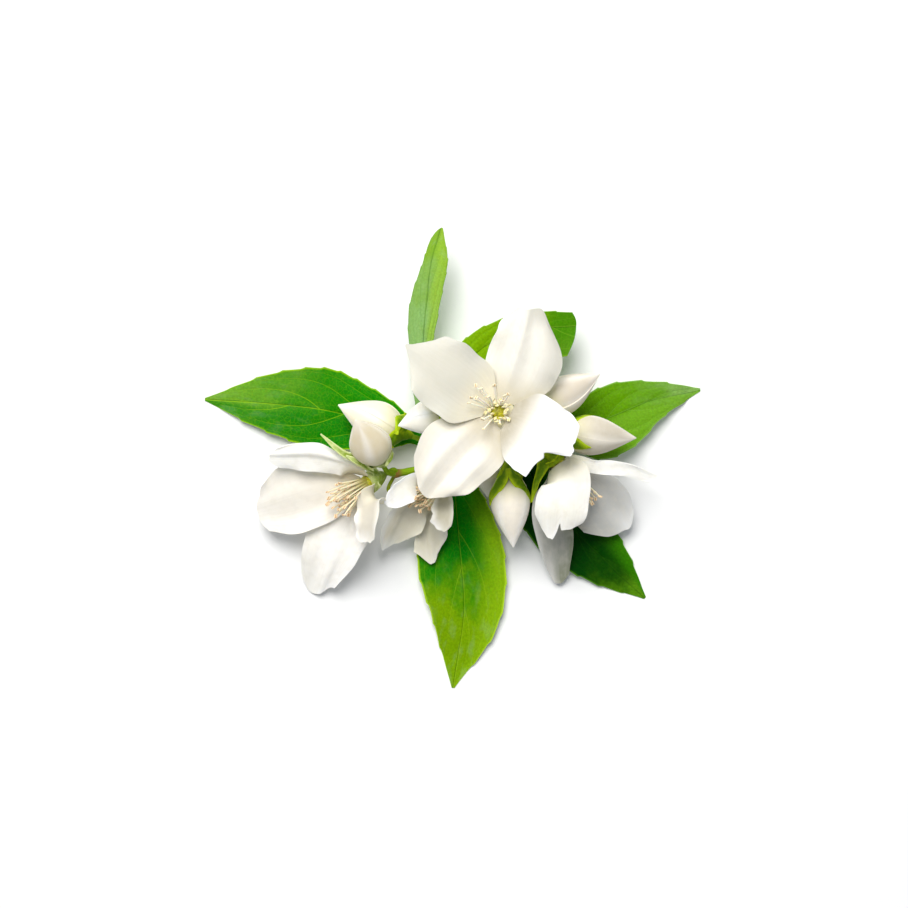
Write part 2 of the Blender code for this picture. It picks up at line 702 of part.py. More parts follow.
def make_bud(name, bud):
    """The closed white body, and its green cup with four sepals that hug it."""
    base, tip = Vector(bud.base), Vector(bud.tip)
    length = (tip - base).length
    axis = (tip - base).normalized()
    body = [(share * length, ratio * bud.radius) for share, ratio in BUD_BODY_PROFILE]
    points, faces = turned_body(base, axis, body, CUP_SIDES)
    mesh_object(name + "_body", points, faces, "petal")
    cup = [(share * length, ratio * bud.radius) for share, ratio in BUD_CUP_PROFILE]
    bodies = [turned_body(base, axis, cup, CUP_SIDES)]
    root_share, root_reach = BUD_SEPAL_ROOT
    for turn in bud.sepal_turns:
        way, _ = ring_frame(axis, math.radians(turn))
        spine = [base + axis * (root_share * length) + way * (root_reach * bud.radius)]
        for place in range(BUD_SEPAL_PLACES):
            share = BUD_SEPAL_FROM + (bud.sepal_reach - BUD_SEPAL_FROM) * place / (BUD_SEPAL_PLACES - 1)
            reach = max(bud_radius(share), BUD_SEPAL_LEAST) * bud.radius + BUD_SEPAL_CLEAR
            spine.append(base + axis * (share * length) + way * reach)
        half = [ratio * bud.radius for ratio in BUD_SEPAL_WIDTHS]
        sepal = Blade(spine, half, half, cup=-0.2)
        bodies.append(sheet_body(sepal, SEPAL_THICKNESS, *BUD_SEPAL_GRID, up=way))
    joined(name + "_cup", bodies, "sepal")


def smooth_path(points, steps):
    vectors = as_vectors(points)
    return [along(vectors, step / steps) for step in range(steps + 1)]


def cup_foot(name):
    """The lower end of this flower's or bud's green cup, and the way that the cup points."""
    if name in BUDS:
        base = Vector(BUDS[name].base)
        return base, (Vector(BUDS[name].tip) - base).normalized()
    flower = FLOWERS[name]
    axis = Vector(flower.axis).normalized()
    return Vector(flower.centre) + axis * (CUP_PROFILE[0][0] * flower.size), axis


def make_stem():
    """The woody axis with every side stalk grown into it."""
    steps = 3 * (len(STEM_PATH) - 1)
    radii = [along(STEM_RADII, step / steps) for step in range(steps + 1)]
    bodies = [tube_body(smooth_path(STEM_PATH, steps), radii, STEM_SIDES)]
    for name, path in STALKS.items():
        foot, axis = cup_foot(name)
        ends = [foot - axis * (GAP + STALK_LEAD), foot - axis * STALK_STOP]
        stalk = smooth_path(path + ends, 5)
        bodies.append(tube_body(stalk, [STALK_RADIUS] * len(stalk), STALK_SIDES))
    twig = smooth_path(TWIG_PATH, 4)
    bodies.append(tube_body(twig, [TWIG_RADIUS] * len(twig), STALK_SIDES))
    joined("stem", bodies, "stem")


def main():
    clear_scene()
    make_stem()
    for name, blade in LEAVES.items():
        make_leaf(name, blade)
    for name, flower in FLOWERS.items():
        make_flower_cup(name + "_cup", flower)
        make_stamens(name + "_stamens", flower)
        for petal, blade in flower.petals.items():
            make_petal(f"{name}_petal_{petal}", flower, blade)
    for name, bud in BUDS.items():
        make_bud(name, bud)


if __name__ == "__main__":
    main()
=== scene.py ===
"""A cut sprig of jasmine flowers: fine leaves, petals, stamens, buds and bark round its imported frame.

Sizes are in millimetres until a mesh is made, which is in metres. The table is at z = 0, +Z is up and
+Y is the way the top leaf points.
"""

import math
from dataclasses import dataclass, replace

import bpy
from bpy.props import FloatProperty, FloatVectorProperty, IntProperty, PointerProperty
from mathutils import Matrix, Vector, noise


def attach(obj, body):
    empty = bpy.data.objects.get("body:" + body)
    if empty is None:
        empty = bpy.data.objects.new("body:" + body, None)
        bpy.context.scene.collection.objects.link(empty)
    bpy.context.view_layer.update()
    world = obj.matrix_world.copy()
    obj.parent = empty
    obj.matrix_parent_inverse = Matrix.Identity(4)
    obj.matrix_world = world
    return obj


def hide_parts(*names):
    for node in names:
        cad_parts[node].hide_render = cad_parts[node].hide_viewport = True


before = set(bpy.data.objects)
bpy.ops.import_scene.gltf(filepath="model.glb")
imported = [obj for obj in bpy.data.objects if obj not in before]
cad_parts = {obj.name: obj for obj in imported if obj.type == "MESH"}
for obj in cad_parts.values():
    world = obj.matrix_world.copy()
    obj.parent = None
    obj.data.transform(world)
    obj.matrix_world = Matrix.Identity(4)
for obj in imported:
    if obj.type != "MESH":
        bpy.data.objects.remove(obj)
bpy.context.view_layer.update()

bl_info = {
    "name": "Jasmine Flower Sprig", "version": (1, 0, 0), "blender": (4, 5, 0),
    "location": "3D View > Sidebar > Sprig",
    "description": "Dresses a cut sprig of white blossom with fine leaves, petals, stamens and buds",
    "category": "Add Mesh",
}

METRES = 0.001
UP = Vector((0, 0, 1))
GOLDEN_ANGLE = math.radians(137.5)
SMOOTH_UP_TO = math.radians(60)

# The photograph was taken from straight above, and one of its pixels is this wide on the table, in
# millimetres, as are the camera's place and its sensor.
PHOTO_SIDE = 908
PIXEL = 0.21
CAMERA_PLACE = (0.3, 1.3, 600.0)
SENSOR = 36.0

# In millimetres: how far out and up a petal's base sits on its flower, and the least half-width of a blade
SEAT_RADIUS = 2.3
SEAT_HEIGHT = 0.1
LEAST_HALF_WIDTH = 0.12
# How sharply the far edge's own line sets in towards the tip, and the share of a petal that is seated
FAR_EDGE_POWER = 3
SEATED_SHARE = 0.35
# Shares of a blade's length: what its direction is taken over, and where its end begins to thin out
SPINE_STEP = 0.01
THIN_FROM = 0.8

# Rows from base to tip and columns from side to side of each kind of blade
LEAF_GRID = (120, 44)
PETAL_GRID = (60, 44)
SEPAL_GRID = (22, 10)
# Petals of a bud, columns of each and rings up it
BUD_GRID = (4, 16, 44)
# Faces round a cup, a bud's cup, a disc and a rib, rings up a disc, and steps along each path
CUP_SIDES, BUD_CUP_SIDES, DISC_SIDES, RIB_SIDES = 36, 32, 40, 12
DISC_STEPS = 12
STEM_STEPS, STALK_STEPS, TWIG_STEPS, RIB_STEPS = 90, 40, 20, 60


@dataclass
class Blade:
    """A petal, leaf or sepal. Its spine runs from base to tip, and its sides reach left and right of it.
    The far edge and the teeth are in millimetres, roll is in degrees at the base and at the tip, and cup
    and fold are how far the sides stand up, as shares of the half-width."""

    spine: list
    left: list
    right: list
    far_edge: tuple = (0, 0, 0, 0, 0)
    roll: tuple = (0, 0)
    cup: float = 0.0
    fold: float = 0.0
    teeth: float = 0.0
    seat_side: Vector = None
    # Creases are (across at the base, across at the tip, height in mm, width); nicks are (across, width,
    # depth in mm) in the far edge; ripple is the height in mm, the waves and their start along both sides.
    creases: tuple = ()
    nicks: tuple = ()
    ripple: tuple = (0.0, 2.0, 0.0)


@dataclass
class Flower:
    """The middle of its cup's mouth, the way it opens, its size and its petals. A side flower has so many
    stamens, which reach, spread and lean so far in millimetres: the main flower's are placed one by one."""

    centre: tuple
    axis: tuple
    size: float
    petals: dict
    stamens: int = 0
    reach: float = 0.0
    spread: float = 0.0
    lean: tuple = (0, 0, 0)
    sepal_reach: float = 1.0

    def mouth(self):
        """The middle of the cup's mouth, and the way that the flower opens."""
        return Vector(self.centre), Vector(self.axis).normalized()

    def sized(self, profile):
        """Heights and radii for a flower of size 1, at this flower's size."""
        return [(height * self.size, radius * self.size) for height, radius in profile]


@dataclass
class Bud:
    """A closed bud from the end of its stalk to its tip. Its petals overlap with a step and twist round."""

    base: tuple
    tip: tuple
    radius: float
    # The angles that the four sepals stand at round the bud, and the share of its length that they reach
    sepal_turns: tuple = (45, 135, 225, 315)
    sepal_reach: float = 0.42
    sepal_width: float = 1.0
    # Degrees that the upper sepals turn outwards from base to tip
    sepal_fan: float = 0.0
    step: float = 0.3
    twist: float = 0.35
    turn: float = 0.0

    def line(self):
        """The end of its stalk, the way from there to its tip, and its length."""
        base, tip = Vector(self.base), Vector(self.tip)
        return base, (tip - base).normalized(), (tip - base).length


# Each petal's spine starts at the flower's seat, so only its later places are listed. The half-widths
# are at even steps from base to tip, and far_edge is how far the end runs past the tip, left to right.
MAIN_PETALS = {
    "left": Blade(
        [(1.9, 15.1, 21.8), (-3.5, 18.9, 22.6), (-8.8, 22.7, 22.2)], [2.7, 7.2, 7.6, 7.6, 6.9, 6.0],
        [2.7, 6.5, 7.0, 7.4, 6.8, 6.3], (-5.1, -2.6, 0.2, -2.1, -4.8), cup=0.05, nicks=((0.03, 0.1, -0.9),),
        creases=((0.1, 0.25, 0.25, 0.5), (-0.5, -0.4, -0.2, 0.3)), ripple=(0.4, 1.6, 0.4),
    ),
    "up": Blade(
        [(12.1, 18.3, 20.0), (14.3, 24.8, 21.0), (15.9, 31.0, 21.4)], [2.4, 5.0, 5.9, 5.7, 5.3, 5.1],
        [2.8, 7.8, 9.2, 8.9, 6.3, 4.0], (-3.9, -0.9, -0.3, 0.3, -1.9), cup=0.04, fold=-0.08,
        creases=((0.05, -0.1, 0.35, 0.12), (0.35, 0.2, -0.3, 0.16), (-0.45, -0.5, -0.25, 0.2)),
        ripple=(0.4, 1.8, 1.1),
    ),
    "right": Blade(
        [(15.7, 6.2, 21.6), (19.5, 3.9, 22.0), (23.0, 2.1, 21.8)], [3.2, 7.2, 7.5, 7.3, 7.0, 5.7],
        [3.2, 7.4, 8.3, 8.6, 8.6, 8.4], (-0.1, 0.8, 1.2, -3.8, -5.3), cup=0.05,
        nicks=((-0.25, 0.1, 0.6), (0.09, 0.07, -0.8), (0.28, 0.1, 2.1)),
        creases=((0.0, 0.1, 0.3, 0.4), (0.55, 0.5, -0.25, 0.25)), ripple=(0.35, 2.2, 2.0),
    ),
    "down": Blade(
        [(3.5, 2.7, 19.8), (-0.7, -2.4, 20.2), (-5.0, -7.6, 19.2)], [2.7, 6.9, 7.2, 6.6, 5.9, 5.0],
        [2.2, 6.8, 9.1, 9.0, 7.9, 5.7], (-4.9, -2.3, 0.3, -0.5, -2.9), cup=0.04,
        creases=((0.3, 0.45, 0.8, 0.16), (-0.1, 0.0, -0.6, 0.16), (-0.5, -0.5, 0.6, 0.18)),
        ripple=(0.45, 1.7, 0.0),
    ),
}
LEFT_PETALS = {
    "up": Blade(
        [(-22.1, -0.8, 12.4), (-29.5, 0.7, 12.8), (-37.2, 0.7, 11.6)], [3.0, 3.0, 2.8, 3.0, 3.0, 2.4],
        [2.0, 2.0, 2.1, 3.2, 2.8, 2.2], (-1.5, 0.3, 0.6, 0.0, -1.6), roll=(28, 20), cup=0.02,
        creases=((0.45, 0.3, 0.5, 0.25),), ripple=(0.3, 2.0, 0.6),
    ),
    "left": Blade(
        [(-24.4, -6.4, 7.9), (-32.4, -8.9, 7.2), (-40.3, -10.8, 4.6)], [1.3, 3.4, 5.4, 6.0, 5.7, 4.4],
        [1.3, 4.6, 7.6, 8.9, 8.0, 5.2], (-1.0, 0.3, 0.4, -0.6, -2.4), roll=(8, 6), cup=0.15,
        creases=((0.2, 0.3, 0.4, 0.25), (-0.4, -0.4, -0.3, 0.25)), ripple=(0.35, 2.0, 0.2),
    ),
    "down": Blade(
        [(-20.4, -11.9, 7.5), (-24.2, -19.5, 6.0), (-27.6, -27.6, 1.4)], [1.3, 3.5, 5.2, 5.1, 3.9, 2.7],
        [1.3, 4.4, 6.6, 7.4, 6.8, 5.4], (-2.6, -1.8, 0.5, 0.9, -2.5), roll=(-22, -10), cup=0.15,
        creases=((-0.1, 0.0, 0.45, 0.2), (0.5, 0.4, -0.35, 0.2)), ripple=(0.3, 2.4, 1.0),
    ),
    "right": Blade(
        [(-17.0, -9.2, 13.6), (-17.2, -12.8, 15.2), (-17.6, -16.5, 15.0)], [2.3, 3.1, 3.1, 2.8, 2.5, 2.4],
        [2.0, 2.7, 3.0, 3.2, 3.0, 2.6], (-0.8, 0.2, 0.4, 0.5, -0.6), roll=(-42, -40), cup=0.2,
        ripple=(0.3, 1.8, 0.0),
    ),
}
CENTRE_PETALS = {
    "up": Blade(
        [(-7.7, -4.1, 12.0), (-10.8, -5.7, 13.4), (-13.8, -8.5, 12.8)], [1.2, 2.8, 3.6, 3.9, 3.4, 2.2],
        [1.2, 1.7, 1.7, 1.5, 1.4, 1.3], (-0.4, 0.3, 0.5, -0.6, -2.0), roll=(25, 15), cup=0.2,
        ripple=(0.15, 1.5, 0.0),
    ),
    "left": Blade(
        [(-8.6, -9.5, 7.4), (-11.0, -13.7, 6.2), (-12.9, -17.7, 4.6)], [1.1, 3.0, 4.2, 4.5, 3.9, 2.8],
        [1.1, 2.3, 3.3, 3.6, 3.2, 2.4], (-2.9, -1.3, -0.1, 1.6, -0.1), roll=(20, 12), cup=0.25,
        creases=((0.3, 0.4, 0.35, 0.2),), ripple=(0.2, 2.0, 0.3),
    ),
    "down": Blade(
        [(-4.5, -11.4, 4.6), (-5.1, -16.2, 3.9), (-4.5, -21.3, 3.6)], [1.1, 2.8, 3.6, 3.9, 3.6, 1.8],
        [1.1, 1.8, 2.0, 2.2, 2.8, 3.3], (-2.2, 0.0, 0.4, -1.1, -2.6), roll=(-5, 0), cup=0.25,
        creases=((0.0, -0.2, 0.35, 0.2),), ripple=(0.3, 2.6, 0.8),
    ),
    "right": Blade(
        [(-1.7, -8.4, 12.6), (-1.8, -11.2, 14.2), (-2.4, -14.1, 13.6)], [1.2, 1.9, 2.3, 2.7, 2.7, 2.7],
        [1.2, 1.6, 2.3, 2.4, 2.4, 2.4], (-1.2, 0.2, 0.4, 0.0, -1.1), roll=(-35, -30), cup=0.35,
        ripple=(0.2, 2.0, 0.5),
    ),
}
RIGHT_PETALS = {
    "front": Blade(
        [(22.8, -4.4, 16.4), (22.3, -9.5, 16.8), (21.6, -14.5, 15.0)], [3.4, 5.2, 5.4, 5.4, 5.2, 4.8],
        [2.6, 4.1, 4.7, 5.4, 5.4, 3.6], (-2.3, -0.8, 0.2, 1.9, -0.4), cup=-0.2,
        creases=((0.1, 0.1, -0.3, 0.3),), nicks=((-0.03, 0.06, 1.8), (0.22, 0.12, -0.9)),
        ripple=(0.2, 1.6, 0.0),
    ),
    "up": Blade(
        [(28.8, -1.1, 13.0), (35.2, -1.6, 13.4), (42.0, -3.4, 12.4)], [1.2, 1.3, 1.3, 1.2, 1.0, 0.9],
        [1.2, 1.5, 1.6, 1.7, 1.6, 1.6], (-2.2, -0.2, -0.1, 0.0, -1.4), roll=(-25, -15), cup=0.2,
        ripple=(0.25, 1.8, 0.0),
    ),
    "far": Blade(
        [(28.3, -5.0, 7.0), (31.7, -9.3, 5.2), (35.2, -14.4, 3.6)], [1.4, 2.8, 4.8, 5.6, 5.2, 4.3],
        [1.4, 4.0, 6.2, 7.0, 7.2, 6.9], (-1.3, 0.6, 0.5, -0.6, -4.6), roll=(-15, 0), cup=0.15,
        creases=((0.0, 0.1, 0.35, 0.25),), ripple=(0.35, 2.0, 0.5),
    ),
    "down": Blade(
        [(20.0, -7.2, 8.8), (20.3, -14.5, 6.8), (21.9, -25.7, 1.4)], [1.4, 2.9, 3.9, 4.4, 4.2, 2.9],
        [1.4, 3.3, 3.7, 3.7, 3.0, 2.0], (-1.6, -0.2, 0.1, -1.3, -4.6), roll=(25, 0), cup=0.2,
        creases=((-0.1, 0.0, 0.3, 0.25),), ripple=(0.3, 2.0, 0.0),
    ),
}
FLOWERS = {
    "main": Flower((9.3, 9.8, 19.0), (0, 0, 1), 1.0, MAIN_PETALS),
    "left": Flower(
        (-17.6, -4.8, 9.6), (-0.8, -0.42, 0.42), 0.9, LEFT_PETALS, stamens=34, reach=9.0, spread=3.2,
        lean=(0, -0.6, 1), sepal_reach=0.6,
    ),
    "centre": Flower(
        (-3.2, -5.5, 8.2), (-0.56, -0.61, 0.56), 0.8, CENTRE_PETALS, stamens=34, reach=5.8, spread=2.2,
        lean=(-1.4, 0.2, 0.4),
    ),
    "right": Flower(
        (21.7, -0.4, 11.5), (0.62, -0.76, -0.15), 0.9, RIGHT_PETALS, stamens=20, reach=10.8, spread=1.6,
        lean=(1.0, 0, 0), sepal_reach=0.7,
    ),
}
# These petals lie over their neighbours at the seat, by so many millimetres.
UPPER_PETALS = {"main_petal_left": 0.3, "main_petal_right": 0.55, "centre_petal_left": 0.55}
# Where the long anthers of the main flower stand, across the table and up from its middle
MAIN_ANTHERS = [
    (-4.6, 5.2, 4.6), (-3.4, 4.8, 4.9), (-0.9, 5.2, 5.0), (1.1, 3.2, 5.2), (2.0, 3.4, 4.4),
    (-5.5, 2.8, 4.8), (-5.9, 1.8, 4.2), (0.5, 2.2, 5.6), (-3.1, -1.5, 4.8), (-3.0, -3.4, 3.8),
    (-4.4, 3.0, 5.2), (-2.0, 3.2, 5.6),
]

LEAVES = {
    "leaf_left": Blade(
        [(-6.0, 3.4, 2.4), (-10.2, 6.4, 1.2), (-22.5, 9.7, 0.7), (-34.0, 11.5, 2.2), (-52.0, 12.8, -0.7)],
        [0.6, 3.0, 6.4, 8.2, 6.2, 0.3], [0.6, 2.1, 6.1, 8.6, 6.5, 0.3], fold=0.06, teeth=0.45,
        ripple=(0.35, 2.6, 0.5),
    ),
    "leaf_top": Blade(
        [(-5.5, 3.6, 3.8), (-6.6, 12.5, 6.4), (-6.0, 24.9, 9.0), (-4.6, 39.3, 10.4), (-2.6, 47.8, 8.6)],
        [0.6, 1.0, 2.3, 3.6, 1.8, 1.5], [0.6, 1.2, 1.3, 2.6, 3.2, 0.9], (-2.2, -0.7, 0.2, 0.4, -0.5),
        roll=(0, 15), cup=-0.15, teeth=0.22, ripple=(0.3, 1.7, 0.4),
    ),
    "leaf_back": Blade(
        [(1.4, 3.1, 2.1), (-0.4, 13.6, 5.4), (5.7, 22.8, 8.0), (15.4, 26.9, 9.4), (25.4, 27.8, 8.4)],
        [0.6, 2.0, 3.6, 3.6, 3.4, 2.9], [0.6, 1.9, 5.3, 7.3, 7.4, 6.1], (-0.4, 0.2, 0.2, -0.6, -2.3),
        fold=0.12, teeth=0.3, ripple=(0.2, 2.0, 0.0),
    ),
    "leaf_right": Blade(
        [(20.6, 5.0, 3.4), (24.5, 5.9, 3.4), (32.0, 8.6, 3.4), (41.3, 12.4, 2.6), (52.0, 14.8, -0.7)],
        [0.6, 2.6, 5.8, 6.3, 3.5, 0.3], [0.6, 2.9, 7.6, 7.3, 3.7, 0.3], fold=0.05, teeth=0.35,
        ripple=(0.25, 2.4, 1.0),
    ),
    "leaf_lower_right": Blade(
        [(14.1, 2.2, 3.0), (15.8, -2.0, 2.8), (21.6, -10.4, 1.6), (30.9, -20.1, 1.0), (40.4, -28.9, -0.6)],
        [0.6, 2.7, 4.8, 6.9, 4.9, 0.3], [0.6, 2.3, 6.8, 7.7, 5.0, 0.3], fold=0.04, teeth=0.45,
        ripple=(0.2, 2.8, 0.0),
    ),
    "leaf_bottom": Blade(
        [(1.3, -1.6, 2.6), (0.5, -4.6, 2.8), (1.1, -14.6, 2.4), (2.4, -30.9, 1.6), (0.1, -47.8, -0.8)],
        [0.6, 3.1, 6.6, 9.1, 7.1, 0.3], [0.6, 2.3, 5.0, 9.1, 6.2, 0.3], fold=0.05, teeth=0.4,
        ripple=(0.3, 2.6, 0.9),
    ),
}
BUDS = {
    "bud_upper_left": Bud((-8.3, 4.9, 6.2), (-23.8, 11.5, 6.0), 4.1, sepal_reach=0.28, step=0.2),
    "bud_front_left": Bud(
        (-14.2, -1.2, 10.8), (-19.7, 8.2, 20.8), 4.05, (315, 190, 130, 75), 0.24, 0.6, step=0.12, twist=0.4,
        turn=-0.6,
    ),
    "bud_behind_left": Bud((-0.1, 10.4, 12.0), (-11.2, 7.1, 12.2), 3.3, sepal_reach=0.28, step=0.15),
    "bud_upper_right": Bud((16.3, 9.5, 11.8), (30.2, 17.7, 13.6), 3.9, sepal_reach=0.28, turn=0.5),
    "bud_right": Bud((20.3, 5.6, 11.4), (37.9, 4.6, 10.4), 3.9, (308, 190, 130, 75), 0.46, 0.6, step=0.12),
    "bud_bottom": Bud(
        (11.3, -0.05, 9.9), (12.6, -18.0, 9.0), 4.05, (244, 296, 60, 120), 0.5, 0.48, 58, 0.06, turn=0.5
    ),
    "bud_peeking": Bud((7.7, 1.1, 5.0), (7.3, -7.6, 4.6), 3.1, sepal_reach=0.24, turn=0.4, step=0.1),
}
# Shares of a bud's length and of its radius up its green cup, and its white body's radii at even steps
BUD_CUP_PROFILE = [
    (0.0, 0.14), (0.03, 0.2), (0.06, 0.29), (0.09, 0.37), (0.12, 0.46), (0.15, 0.55), (0.19, 0.64)
]
BUD_BODY_FROM = 0.18
BUD_BODY_RADII = [0.56, 0.83, 0.97, 1.0, 0.92, 0.76, 0.54, 0.29, 0.03]
# A bud's sepals: the root's shares of its length and radius, the share of its length where they come
# free of the cup, their half-widths as shares of its radius, how far off the bud they stay in
# millimetres, and the least share of its radius that they pass over
BUD_SEPAL_ROOT = (0.1, 0.35)
BUD_SEPAL_FROM = 0.17
BUD_SEPAL_WIDTHS = (0.4, 0.8, 0.76, 0.54, 0.28, 0.05)
BUD_SEPAL_CLEAR = 0.25
BUD_SEPAL_LEAST = 0.68
# For a flower of size 1: heights and radii up its green cup, places out and up along each sepal, and the
# sepals' half-widths
CUP_PROFILE = [
    (-5.2, 0.5), (-4.8, 0.85), (-4.4, 1.1), (-3.7, 1.5), (-3.0, 1.8), (-2.2, 2.15), (-1.4, 2.4),
    (-0.5, 2.6), (-0.3, 2.3),
]
SEPAL_SPOTS = [(1.6, -1.7), (2.8, -1.6), (3.8, -1.6), (4.8, -1.9)]
SEPAL_HALF_WIDTHS = [1.2, 1.6, 1.4, 0.9, 0.5, 0.1]
# Degrees round the flower to its first sepal, and thickness in millimetres along a sepal's middle and
# at its edge: a flower's, and a bud's or a bract's
SEPAL_TURN = 45
SEPAL_THICKNESS, THIN_SEPAL = (0.45, 0.16), (0.4, 0.16)

# The stem from its cut end to its last pair of leaves, and where each side stalk leaves it
STEM_PATH = [
    (24.2, 8.6, 1.5), (18.6, 6.9, 1.4), (11.0, 4.6, 1.2), (3.7, 2.4, 1.2), (-4.4, -1.2, 2.4),
    (-12.4, -2.9, 6.2),
]
STEM_RADII = [1.0, 1.1, 0.95, 1.0, 0.8, 0.75]
STALKS = {
    "main": [(4.6, 2.7, 1.6), (7.4, 6.4, 6.5)], "left": [(-11.6, -2.7, 5.9)],
    "centre": [(-2.6, 0.2, 2.0), (-0.4, -1.0, 3.6)], "right": [(18.0, 6.7, 1.6), (17.2, 5.4, 7.5)],
    "bud_upper_left": [(-4.4, -1.0, 2.4), (-5.4, 2.0, 4.6)],
    "bud_front_left": [(-12.2, -2.8, 6.1), (-12.7, -2.8, 8.0)],
    "bud_behind_left": [(5.4, 3.0, 1.6), (4.2, 8.4, 8.0)],
    "bud_upper_right": [(16.6, 6.3, 1.5), (14.4, 7.4, 7.5)],
    "bud_right": [(18.9, 7.0, 1.5), (17.2, 6.4, 7.0)], "bud_bottom": [(8.2, 3.8, 1.5), (9.6, 4.0, 6.5)],
    "bud_peeking": [(6.9, 3.4, 1.6), (6.2, 4.0, 3.4)],
}
# In millimetres: how far below each cup its stalk straightens, how far it runs up into the cup, and its
# radius, which falls from the first share of this at its foot by the second
STALK_LEAD = 1.9
STALK_SINK = 0.3
STALK_RADIUS = 0.52
STALK_TAPER = (1.15, 0.2)
# The small twig below the left flower
TWIG_PATH = [(-11.6, -2.4, 5.6), (-13.4, -6.0, 5.0), (-11.6, -7.4, 4.6)]
TWIG_RADIUS = 0.38
# Thin green bracts that stand up behind the left flower
BRACTS = {
    "bract_outer": [(-16.0, -2.6, 9.5), (-19.2, 0.0, 13.6), (-22.6, 1.6, 15.6), (-27.0, 5.4, 15.6)],
    "bract_inner": [(-15.4, -2.8, 9.5), (-17.0, -1.6, 12.0), (-19.6, -0.2, 15.2), (-21.8, 1.0, 16.0)],
}
BRACT_HALF_WIDTHS = [0.5, 0.7, 0.8, 0.7, 0.5, 0.1]
# The right flower's long narrow sepal, which hangs down beside its front petal
LONG_SEPAL = [(19.0, 0.4, 13.0), (18.4, -1.6, 13.6), (17.2, -4.6, 13.0), (16.3, -8.6, 11.6)]
LONG_SEPAL_HALF_WIDTHS = [1.0, 1.3, 1.0, 0.7, 0.5, 0.1]

# The disc in the middle of a flower of size 1, its least radius and how far it sinks, in millimetres, and
# how many waves go round it and round a cup, and how deep
DISC_RADIUS = 1.8
DISC_HEIGHT = 1.2
DISC_TOP = 0.04
DISC_SINK = 0.4
DISC_WAVES, CUP_WAVES = (4, 0.14), (4, 0.06)
# Shares of the stem's length where it has its joints, how long each is, and in millimetres how far it
# swells there
STEM_JOINTS = (0.2, 0.62, 0.985)
JOINT_LENGTH = 0.02
JOINT_SWELL = 0.18
# How brown the twig's bark is
TWIG_BROWN = 0.3
# In millimetres, a leaf's rib: how far its stalk stands out of the blade, its radius at the tip, and how
# far it lies below the blade's middle. Its taper is how steeply it thins.
LEAF_STALK, RIB_END, RIB_DROP = 0.8, 0.06, 0.1
RIB_TAPER = 0.8
# The height in metres of a rib's faint ridges, and how many there are in a metre
RIB_BARK, RIB_GRAIN = 0.00002, 900.0
# A leaf's side veins: how many fit along it, how strongly they bend along the edge, how near to it the
# bend goes on, and the least room that is left there
LEAF_SIDE_VEINS = 4.0
LEAF_VEIN_CURL = 0.3
VEIN_BEND_REACH = 0.94
VEIN_LEAST_ROOM = 0.03
# A leaf's relief: how wide its veins sink, and how deep and wide its midrib does, as shares
QUILT_WIDTH = 0.2
MIDRIB_SINK, MIDRIB_SINK_WIDTH = 1.6, 0.05
# Shares of a leaf's length where its teeth begin, are full, fade and end
TOOTHED = (0.16, 0.3, 0.88, 0.97)
# How far the right side's teeth are ahead of the left's, and where a tooth drops back, as shares of a
# tooth, how steeply it rises, and how closely it keeps to the very edge
TOOTH_SHIFT, TOOTH_DROP, TOOTH_RISE, TOOTH_HOLD = 0.4, 0.9, 2.2, 6
# How far a ripple runs ahead from a blade's middle to its right edge, in radians
PETAL_SKEW, LEAF_SKEW = 1.3, 1.1
# The share that a petal's creases lose between these shares of its length
CREASE_LOSS, CREASE_FADES = 0.5, (0.8, 1)
# Shares of a petal's length where its creases and ripples begin and are full, the pleats from its
# middle to its edge in radians, and how steeply ripples grow and tissue thins towards the edge
PETAL_OPENS = (0.08, 0.45)
PLEATS = 46
EDGE_POWER = 2.5
# How a petal's edge frays: how far in millimetres, how many swells there are along its sides and across
# its end, where the sides begin to fray and are full, and the slice of the noise that each edge reads
FRAY = 0.35
SIDE_SWELLS, END_SWELLS = 5, 3.2
FRAYED = (0.3, 0.6)
RIGHT_SLICE, LEFT_SLICE, END_SLICE = 3.5, 1.5, 0.5
# A bud's body: where and how its petals' steps swell up it, how sharply a free edge rises and how far
# it lies sunk, how far each petal wraps, the depth of the flutes, and its least radius
BUD_SWELL = (0.9, 0.1, 0.7)
BUD_EDGE_RISE, BUD_EDGE_SINK = 1.5, 0.35
BUD_WRAP = 0.997
BUD_FLUTE = 0.05
BUD_LEAST_RADIUS = 0.05
# The width that a bud's petals count as for their clouds, in millimetres
BUD_PETAL_WIDTH = 6
# Side flowers' tufts, in millimetres for size 1: how far out their threads start and bend and the
# innermost anther stands, how much their lengths vary and how often that goes round, and their least
# size and what the outermost adds to it
TUFT_ROOT, TUFT_BEND, TUFT_CORE = 1.5, 1.7, 0.7
TUFT_VARY, TUFT_ROUNDS = 0.2, 5
TUFT_SIZES = (0.85, 0.3)
# The main flower's long stamens, in millimetres: their roots out and up, and the share of their length
# where they bend and how far they bend up
LONG_ROOT, LONG_BEND = (1.4, 0.4), (0.4, 1.2)
# Its short ones: how many, their roots and inmost tips out and up, the step from each of their three
# rings of tips to the next, how far they bend up, their size, and how much thicker their threads are
SHORT_STAMENS = 22
SHORT_ROOT, SHORT_TIP, SHORT_RING = (1.6, 0.5), (1.35, 2.2), (0.6, -0.3)
SHORT_BEND, SHORT_SIZE, SHORT_THICKNESS = 0.3, 0.95, 1.5
# The long stamens come in three sizes: the least, and the step from each to the next
LONG_SIZES = (0.9, 0.1)
# A tuft's threads: how far up their roots are, how far they flare at their bend and droop at their tip
# for each millimetre that the anther stands out
TUFT_ROOT_UP, TUFT_FLARE, TUFT_DROOP = 0.2, 0.1, 0.15
# A thread's faces round it, the points along it, and the share of its radius that its tip keeps
THREAD_SIDES, THREAD_POINTS, THREAD_TAPER = 7, 9, 0.75
# An anther's lobes, as shares of half its length: how far off the seam and up each sits, and its size
LOBE_OFF, LOBE_UP, LOBE_SIZE = 0.34, 0.3, (0.44, 0.4, 1.0)
LOBE_SEGMENTS, LOBE_RINGS = 10, 8
